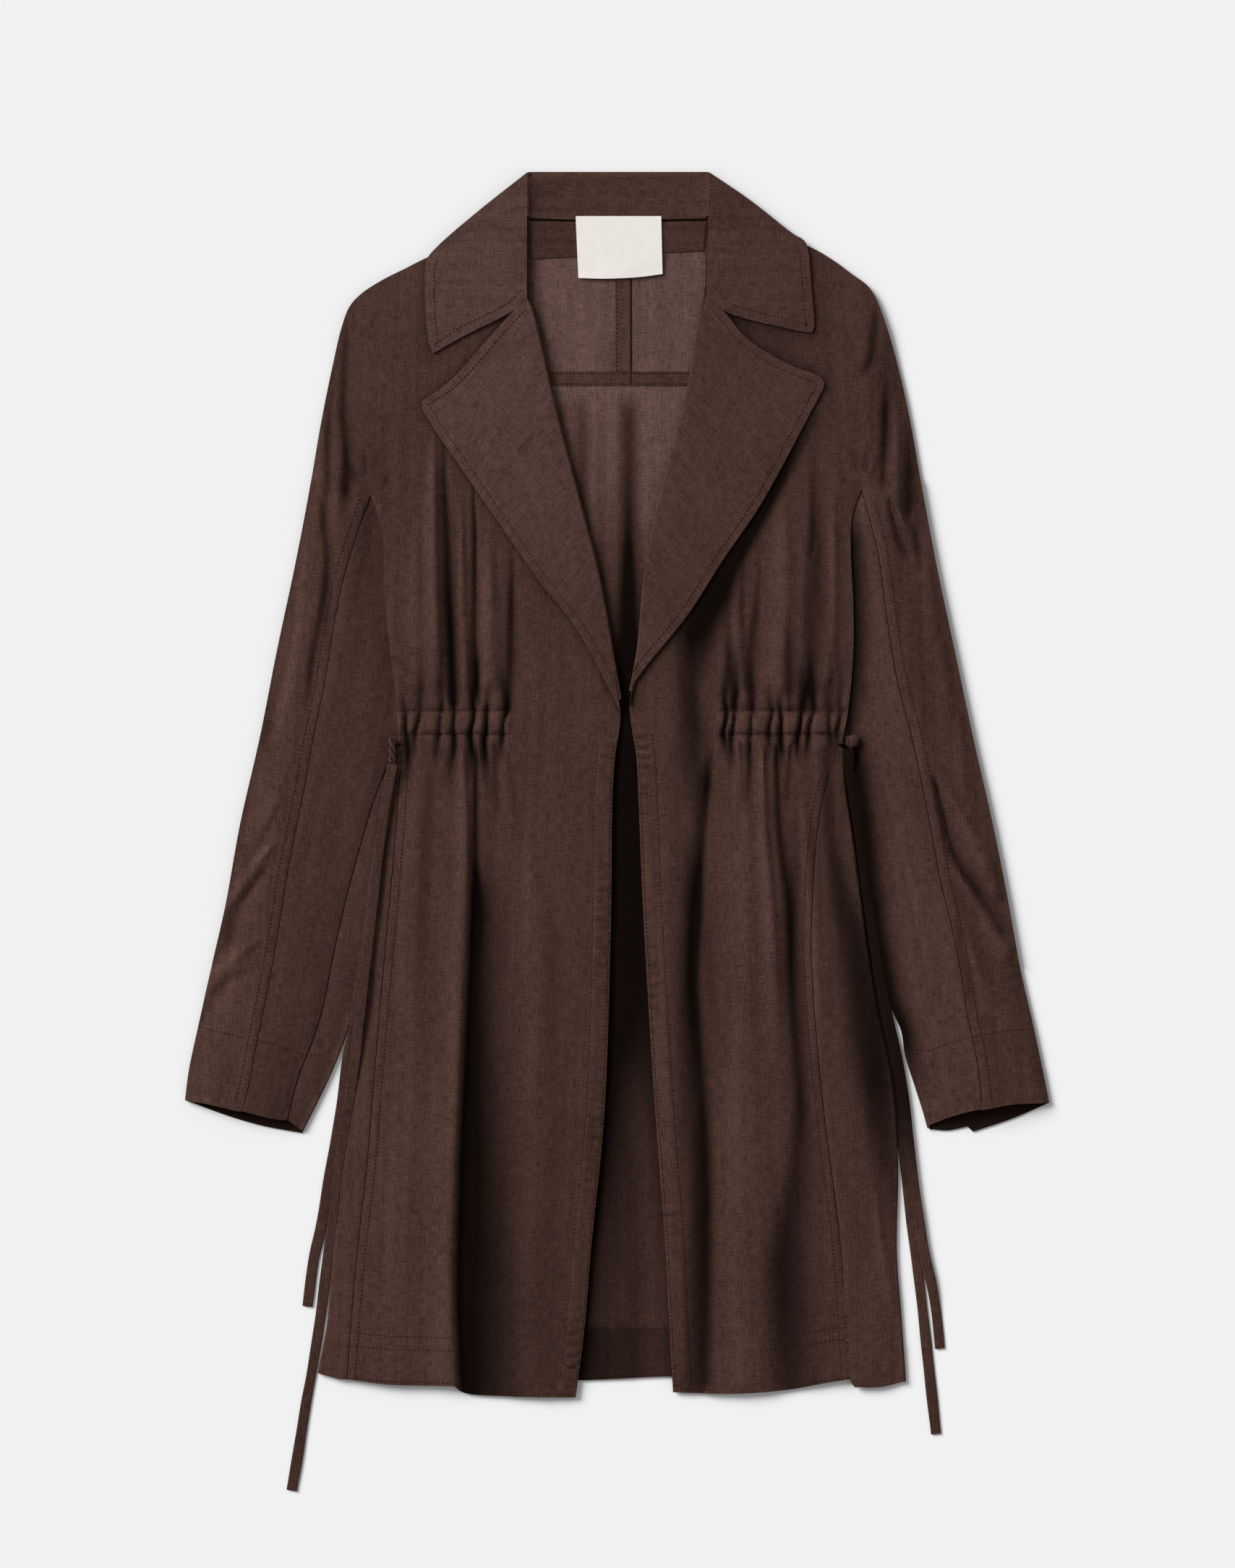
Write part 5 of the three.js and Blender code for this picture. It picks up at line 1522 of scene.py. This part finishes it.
class COAT_OT_back(bpy.types.Operator):
    """Makes the lower back with its wrapped sides and the two halves of the yoke"""

    bl_idname = "coat.back"
    bl_label = "Back and back sleeves"

    def execute(self, context):
        lower = back_lower_outline()
        areas = [lower, shaded_pleat()]
        shells = [shell(lower, back_top, flat_at(0), *STEPS_BACK, back_layers_and_shade)]
        for side in (LEFT, RIGHT):
            fold, wrap = wrap_outline(side)
            top = functools.partial(front_top, side)
            layers = functools.partial(front_layers_and_shade, side)
            shells.append(laid_cloth(wrap, top, layers))
            turn = curve_through(fold)
            x, y = turn.T
            shells.append(rolled_edge(turn, 0.0, top(x, y), SIDE_ROLL, side.sign, layers(x, y)))
            areas.append(wrap)
        # The pleat is painted all over with deep shade
        shells.append(flat_shell(shaded_pleat(), 0.0, PLEAT_THICKNESS, DEEP))
        declare_cut(make_piece("cloth_back_lower", shells, "back_cloth", "back_lower"), areas)
        for side in (LEFT, RIGHT):
            self.make_yoke(side)
        return {"FINISHED"}

    def make_yoke(self, side):
        """One half of the yoke with its back sleeve, and the band that its seam is felled into"""
        outline = yoke_outline(side)
        centre = CENTRE_BACK_X + side.sign * GAP / 2
        low = YOKE_SEAM_Y + GAP
        high = low + YOKE_BAND_WIDTH
        end = side.sign * YOKE_BAND_REACH
        band = outline_through([(centre, low), (end, low), (end, high), (centre, high)])
        layers = functools.partial(yoke_layers_and_shade, side)
        shells = [
            shell(outline, yoke_top, lambda x, y: lift(y), *STEPS_YOKE, layers),
            shell(band, lambda x, y: yoke_top(x, y) + 0.5 + 0.1 * np.sin(x / 1.7), below_yoke_top),
        ]
        areas = [outline]
        if side.rear_seam is not None:
            strip, wrapped = self.wrapped_sleeve(side)
            areas.append(strip)
            shells.extend(wrapped)
        if side.sign < 0:
            shells.extend(self.centre_seam(centre))
        piece = make_piece(f"cloth_back_yoke_{side.name}", shells, "back_cloth", f"back_yoke_{side.name}")
        declare_cut(piece, areas)

    def wrapped_sleeve(self, side):
        """The strip of the back sleeve that wraps round to the front, with its turned edge and its seam"""
        fold = sleeve_fold(side)
        strip = outline_through([*shifted(side.table["rear_seam"], -side.sign * GAP / 2), *fold[::-1]])
        top = functools.partial(under_top, side)
        turn = curve_through(fold)
        return strip, [
            laid_cloth(strip, top, 0.88),
            rolled_edge(turn, 0.2, top(turn[:, 0], turn[:, 1]), 1.0, -side.sign),
            seam_line(curve_through(side.rear_seam[::3], EDGE_STEP), top, 0.9),
        ]

    def centre_seam(self, centre):
        """The felled seam down the middle of the yoke"""
        near = CENTRE_BACK_X - GAP
        far = near - FELLED_WIDTH
        felled = outline_through([(far, 313.6), (near, 313.6), (near, 397.5), (far, 397.5)])

        def felled_top(x, y):
            return yoke_top(x, y) + 0.5 + 0.1 * np.sin(y / 1.9)

        line = [(centre, 303.5), (centre, 350), (centre, 398)]
        return [
            shell(felled, felled_top, below_yoke_top, layers=0.8),
            seam_line(line, lambda x, y: yoke_top(x, y) + 0.55, 0.9),
        ]


class COAT_OT_sleeves(bpy.types.Operator):
    """Makes the panel along the inside of each sleeve"""

    bl_idname = "coat.sleeves"
    bl_label = "Under-sleeves"

    def execute(self, context):
        for side in (LEFT, RIGHT):
            outline = under_sleeve_outline(side)
            top = functools.partial(under_top, side)
            shells = [laid_cloth(outline, top, functools.partial(under_layers_and_shade, side))]
            if side.rear_seam is None:
                turn = curve_through(sleeve_fold(side))
                x, y = turn.T
                bulge = 1.6 + 3.0 * smooth((y + 110) / 90)
                shade = 1.1 + 0.9 * smooth((y + 250) / 60)
                shells.append(rolled_edge(turn, 0.2, top(x, y), bulge, -side.sign, shade))
            piece = make_piece(f"cloth_under_sleeve_{side.name}", shells, "front_cloth",
                               f"under_sleeve_{side.name}", 12 * side.sign)
            declare_cut(piece, [outline])
        return {"FINISHED"}


class COAT_OT_fronts(bpy.types.Operator):
    """Makes the two gathered fronts with their outer sleeves"""

    bl_idname = "coat.fronts"
    bl_label = "Fronts"

    def execute(self, context):
        for side in (LEFT, RIGHT):
            outline = front_outline(side)
            top = functools.partial(front_top, side)
            shells = [laid_cloth(outline, top, functools.partial(front_layers_and_shade, side), waist_spacing)]
            for row in (part(side.seam, UNDERARM_Y - 3, -246), part(side.side_seam, 8, HEM_Y)):
                shells.append(seam_line(row, lambda x, y: top(x, y) + 0.02, 0.7))
            piece = make_piece(f"cloth_front_{side.name}", shells, "front_cloth", f"front_{side.name}",
                               2 * side.sign)
            declare_cut(piece, [outline])
        return {"FINISHED"}


class COAT_OT_lapels(bpy.types.Operator):
    """Makes the turned-back lapels with their soft roll"""

    bl_idname = "coat.lapels"
    bl_label = "Lapels"

    def execute(self, context):
        for side in (LEFT, RIGHT):
            bottom = functools.partial(cover_bottom, side)
            top = functools.partial(lapel_top, side)
            shells = [shell(side.lapel, top, bottom, layers=functools.partial(cover_painted_light, side))]
            roll = part(side.opening, side.lapel[:, 1].max() - 2, side.break_y + 8)
            high = top(roll[:, 0], roll[:, 1])
            fade = smooth((roll[:, 1] - side.break_y) / 60)
            bulge = 0.5 + 1.3 * fade.mean()
            shells.append(rolled_edge(roll, high - 0.6 - 2.6 * fade, high, bulge, -side.sign))
            piece = make_piece(f"cloth_lapel_{side.name}", shells, "front_cloth", f"lapel_{side.name}",
                               34 * side.sign)
            declare_cut(piece, [side.lapel])
        return {"FINISHED"}


class COAT_OT_collar(bpy.types.Operator):
    """Makes the collar: its fall, its band inside the neck and a leaf on each shoulder"""

    bl_idname = "coat.collar"
    bl_label = "Collar"

    def execute(self, context):
        top_edge = [(-67, COLLAR_TOP_Y), (70, COLLAR_TOP_Y)]
        fall = [*top_edge, (103, 442), (135, 417), (143, 400), (118, 362), (60, 350), (-60, 350),
                (-118, 362), (-141, 396), (-134, 410), (-106, 434)]
        band = outline_through([*top_edge, (68, 429.5), (4, 428), (-66, 429.5)])
        shells = [flat_shell(outline_through(fall, corner=1), 0, CLOTH)]

        def band_top(x, y):
            soft = 0.25 * ripple(31, x, y, 14, 40, 0.9) + 0.1 * crumple(32, x, y)
            turned = np.exp(-np.minimum(x + 66, 70 - x) / 5)
            rounded = smooth((y - 450) / 14) * smooth((COLLAR_TOP_Y - y) / 2)
            return LAYER + 1.0 + soft + 0.8 * rounded + 2.6 * turned * smooth((COLLAR_TOP_Y - y) / 6)

        shells.append(shell(band, band_top, flat_at(LAYER)))
        shells.append(rolled_edge(curve_through(top_edge), 0.1, LAYER + 1.0, 1.0, 1))
        areas = [np.array(fall, float), band]
        for side in (LEFT, RIGHT):
            bottom = functools.partial(cover_bottom, side)
            top = functools.partial(leaf_top, side)
            shells.append(shell(side.leaf, top, bottom, layers=functools.partial(cover_painted_light, side)))
            neck_x = side.table["leaf"][0][0]
            roll = curve_through([(neck_x, COLLAR_TOP_Y), (neck_x, 448), (neck_x, 431)], ROW_STEP)
            shells.append(rolled_edge(roll, LAYER, top(roll[:, 0], roll[:, 1]), 2.6, -side.sign))
            areas.append(side.leaf)
        declare_cut(make_piece("cloth_collar", shells, "front_cloth", "collar", 90), areas)
        return {"FINISHED"}


class COAT_OT_neck(bpy.types.Operator):
    """Makes the facing inside the neck and the blank woven label sewn to it"""

    bl_idname = "coat.neck"
    bl_label = "Neck facing and label"

    def execute(self, context):
        low = BACK_TOP + COLLAR_LIFT + GAP

        def facing_top(x, y):
            return low + 0.8 + 0.12 * ripple(41, x, y, 10, 30, 0.8) + 0.08 * crumple(42, x, y)

        neck = [(-66, 427.6), (4, 426.6), (68, 427.6)]
        outline = outline_through([*neck, (66, 405), (-65, 399)])
        shells = [
            shell(outline, facing_top, flat_at(low), layers=1.12),
            seam_line(shifted(neck, 0, 0.8), flat_at(low + 0.9), 1.8),
        ]
        declare_cut(make_piece("cloth_neck_facing", shells, "front_cloth", "neck_facing", 90), [outline])
        base = low + 1.3

        def label_top(x, y):
            bow = 0.35 * np.exp(-((y - 388) / 6) ** 2) * np.cos(x / 9)
            return base + 0.7 + bow + 0.1 * ripple(43, x, y, 12, 30, 0.5)

        outline = outline_through([(-31, 431), (34, 431), (35, 387), (15, 384.5), (-8, 383.5), (-29, 384)])
        shells = [shell(outline, label_top, flat_at(base))]
        declare_cut(make_piece("cloth_label", shells, "label_cloth", "label"), [outline])
        return {"FINISHED"}


class COAT_OT_ties(bpy.types.Operator):
    """Makes the four free tails of the drawstring and the knot at each side"""

    bl_idname = "coat.ties"
    bl_label = "Drawstring ties"

    def execute(self, context):
        knots = {"left": self.twisted_knot(), "right": self.round_knot()}
        for name, route in TIES.items():
            path = curve_through(route, TIE_STEP)
            shade = 1 + 0.9 * smooth((path[:, 1] + 330) / 90) * (path[:, 0] > 0)
            made = flat_cord(path, sum(map(ord, name)), shade)
            piece = make_piece(f"cord_{name}", [made], "tie_cloth", f"tie_{name}")
        return {"FINISHED"}

    def twisted_knot(self):
        """Two strands wound round each other"""
        centre = np.array(LEFT_KNOT)
        shells = []
        for phase in (0, math.pi):
            t = np.linspace(-1, 1, 29)
            wound = 1.35 * math.pi * t + phase
            path = np.column_stack((1.9 * np.cos(wound), 9.2 * t, 1.2 * np.sin(wound))) + centre
            shells.append(tube(path, 1.5))
        return make_piece("strands_knot_left", shells, "tie_cloth", "knot_left")

    def round_knot(self):
        """One strand wound into a ball, with a loop of it round the edge of the front"""
        centre = np.array(RIGHT_KNOT)
        t = np.linspace(-0.9, 0.9, 13)
        loop = np.column_stack((-4.6 + 0.8 * np.cos(2 * t), 3.4 * t, 0.4 + 1.2 * np.cos(1.7 * t))) + centre
        shells = [lumpy_ball(centre, 4.9, 2.6), tube(loop, 0.9)]
        return make_piece("strand_knot_right", shells, "tie_cloth", "knot_right")


class COAT_OT_stitching(bpy.types.Operator):
    """Makes the rows of stitches on the edges, seams, hems and waist casings"""

    bl_idname = "coat.stitching"
    bl_label = "Stitching"

    def execute(self, context):
        groups = (("front", front_rows, front_top), ("under_sleeve", under_rows, under_top),
                  ("lapel", lapel_rows, lapel_top), ("collar", leaf_rows, leaf_top))
        for side in (LEFT, RIGHT):
            for kind, rows, top in groups:
                make_stitches(f"stitches_{kind}_{side.name}", rows(side), functools.partial(top, side))
        low = YOKE_SEAM_Y + GAP
        centre = CENTRE_BACK_X - GAP
        back_rows = [[(x, low + above) for x in (-76, -30, 30, 76)] for above in (9.6, 1.6)]
        back_rows.append([(centre - 10.6, y) for y in (314.5, 350, 396)])
        make_stitches("stitches_back_seams", back_rows, lambda x, y: yoke_top(x, y) + 0.6)
        hem = [[(-27, -416), (0, -415.5), (40, -414)], [(-27, -451), (0, -450.6), (40, -449)]]
        make_stitches("stitches_back_hem", hem, back_top)
        return {"FINISHED"}


class COAT_OT_stage(bpy.types.Operator):
    """Makes the pale surface, the soft light from the upper left and the camera straight above"""

    bl_idname = "coat.stage"
    bl_label = "Surface, light and camera"

    def execute(self, context):
        scene = context.scene
        mesh = bpy.data.meshes.new("Surface")
        half = SURFACE_HALF
        square = ((-half, -half), (half, -half), (half, half), (-half, half))
        mesh.from_pydata([(x, y, SURFACE_Z) for x, y in square], [], [(0, 1, 2, 3)])
        pale = bpy.data.materials.new("pale_surface")
        pale.use_nodes = True
        shader = pale.node_tree.nodes["Principled BSDF"]
        shader.inputs["Base Color"].default_value = (*SURFACE_COLOUR, 1)
        shader.inputs["Roughness"].default_value = 0.9
        shader.inputs["Specular IOR Level"].default_value = 0.0
        mesh.materials.append(pale)
        surface = bpy.data.objects.new("Surface", mesh)
        scene.collection.objects.link(surface)
        sun = bpy.data.objects.new("Key light", bpy.data.lights.new("Key light", "SUN"))
        sun.data.energy = LIGHT_STRENGTH
        sun.data.angle = math.radians(LIGHT_ANGLE)
        toward = Vector(LIGHT_FROM).normalized()
        sun.rotation_euler = toward.to_track_quat("Z", "Y").to_euler()
        scene.collection.objects.link(sun)
        world = bpy.data.worlds.new("Soft room")
        world.use_nodes = True
        background = world.node_tree.nodes["Background"]
        background.inputs["Color"].default_value = (1, 1, 1, 1)
        background.inputs["Strength"].default_value = ROOM_STRENGTH
        scene.world = world
        camera = bpy.data.objects.new("Camera", bpy.data.cameras.new("Camera"))
        camera.data.lens = LENS
        camera.data.sensor_width = SENSOR
        camera.location = (CAMERA_X, CAMERA_Y, LENS / SENSOR * FRAME_HEIGHT)
        scene.collection.objects.link(camera)
        scene.camera = camera
        scene.view_settings.view_transform = "Standard"
        return {"FINISHED"}


class COAT_PT_panel(bpy.types.Panel):
    bl_idname = "COAT_PT_panel"
    bl_label = "Duster coat"
    bl_space_type = "VIEW_3D"
    bl_region_type = "UI"
    bl_category = "Coat"

    def draw(self, context):
        sizes = context.scene.coat_sizes
        for name in CoatSizes.__annotations__:
            self.layout.prop(sizes, name)
        for step in STEPS:
            self.layout.operator(step.bl_idname)


STEPS = (
    COAT_OT_back,
    COAT_OT_sleeves,
    COAT_OT_fronts,
    COAT_OT_lapels,
    COAT_OT_collar,
    COAT_OT_neck,
    COAT_OT_ties,
    COAT_OT_stitching,
    COAT_OT_stage,
)


def register():
    bpy.utils.register_class(CoatSizes)
    for step in STEPS:
        bpy.utils.register_class(step)
    bpy.utils.register_class(COAT_PT_panel)
    bpy.types.Scene.coat_sizes = bpy.props.PointerProperty(type=CoatSizes)


def unregister():
    del bpy.types.Scene.coat_sizes
    bpy.utils.unregister_class(COAT_PT_panel)
    for step in reversed(STEPS):
        bpy.utils.unregister_class(step)
    bpy.utils.unregister_class(CoatSizes)


def main():
    register()
    for step in STEPS:
        area, name = step.bl_idname.split(".")
        getattr(getattr(bpy.ops, area), name)()


if __name__ == "__main__":
    main()
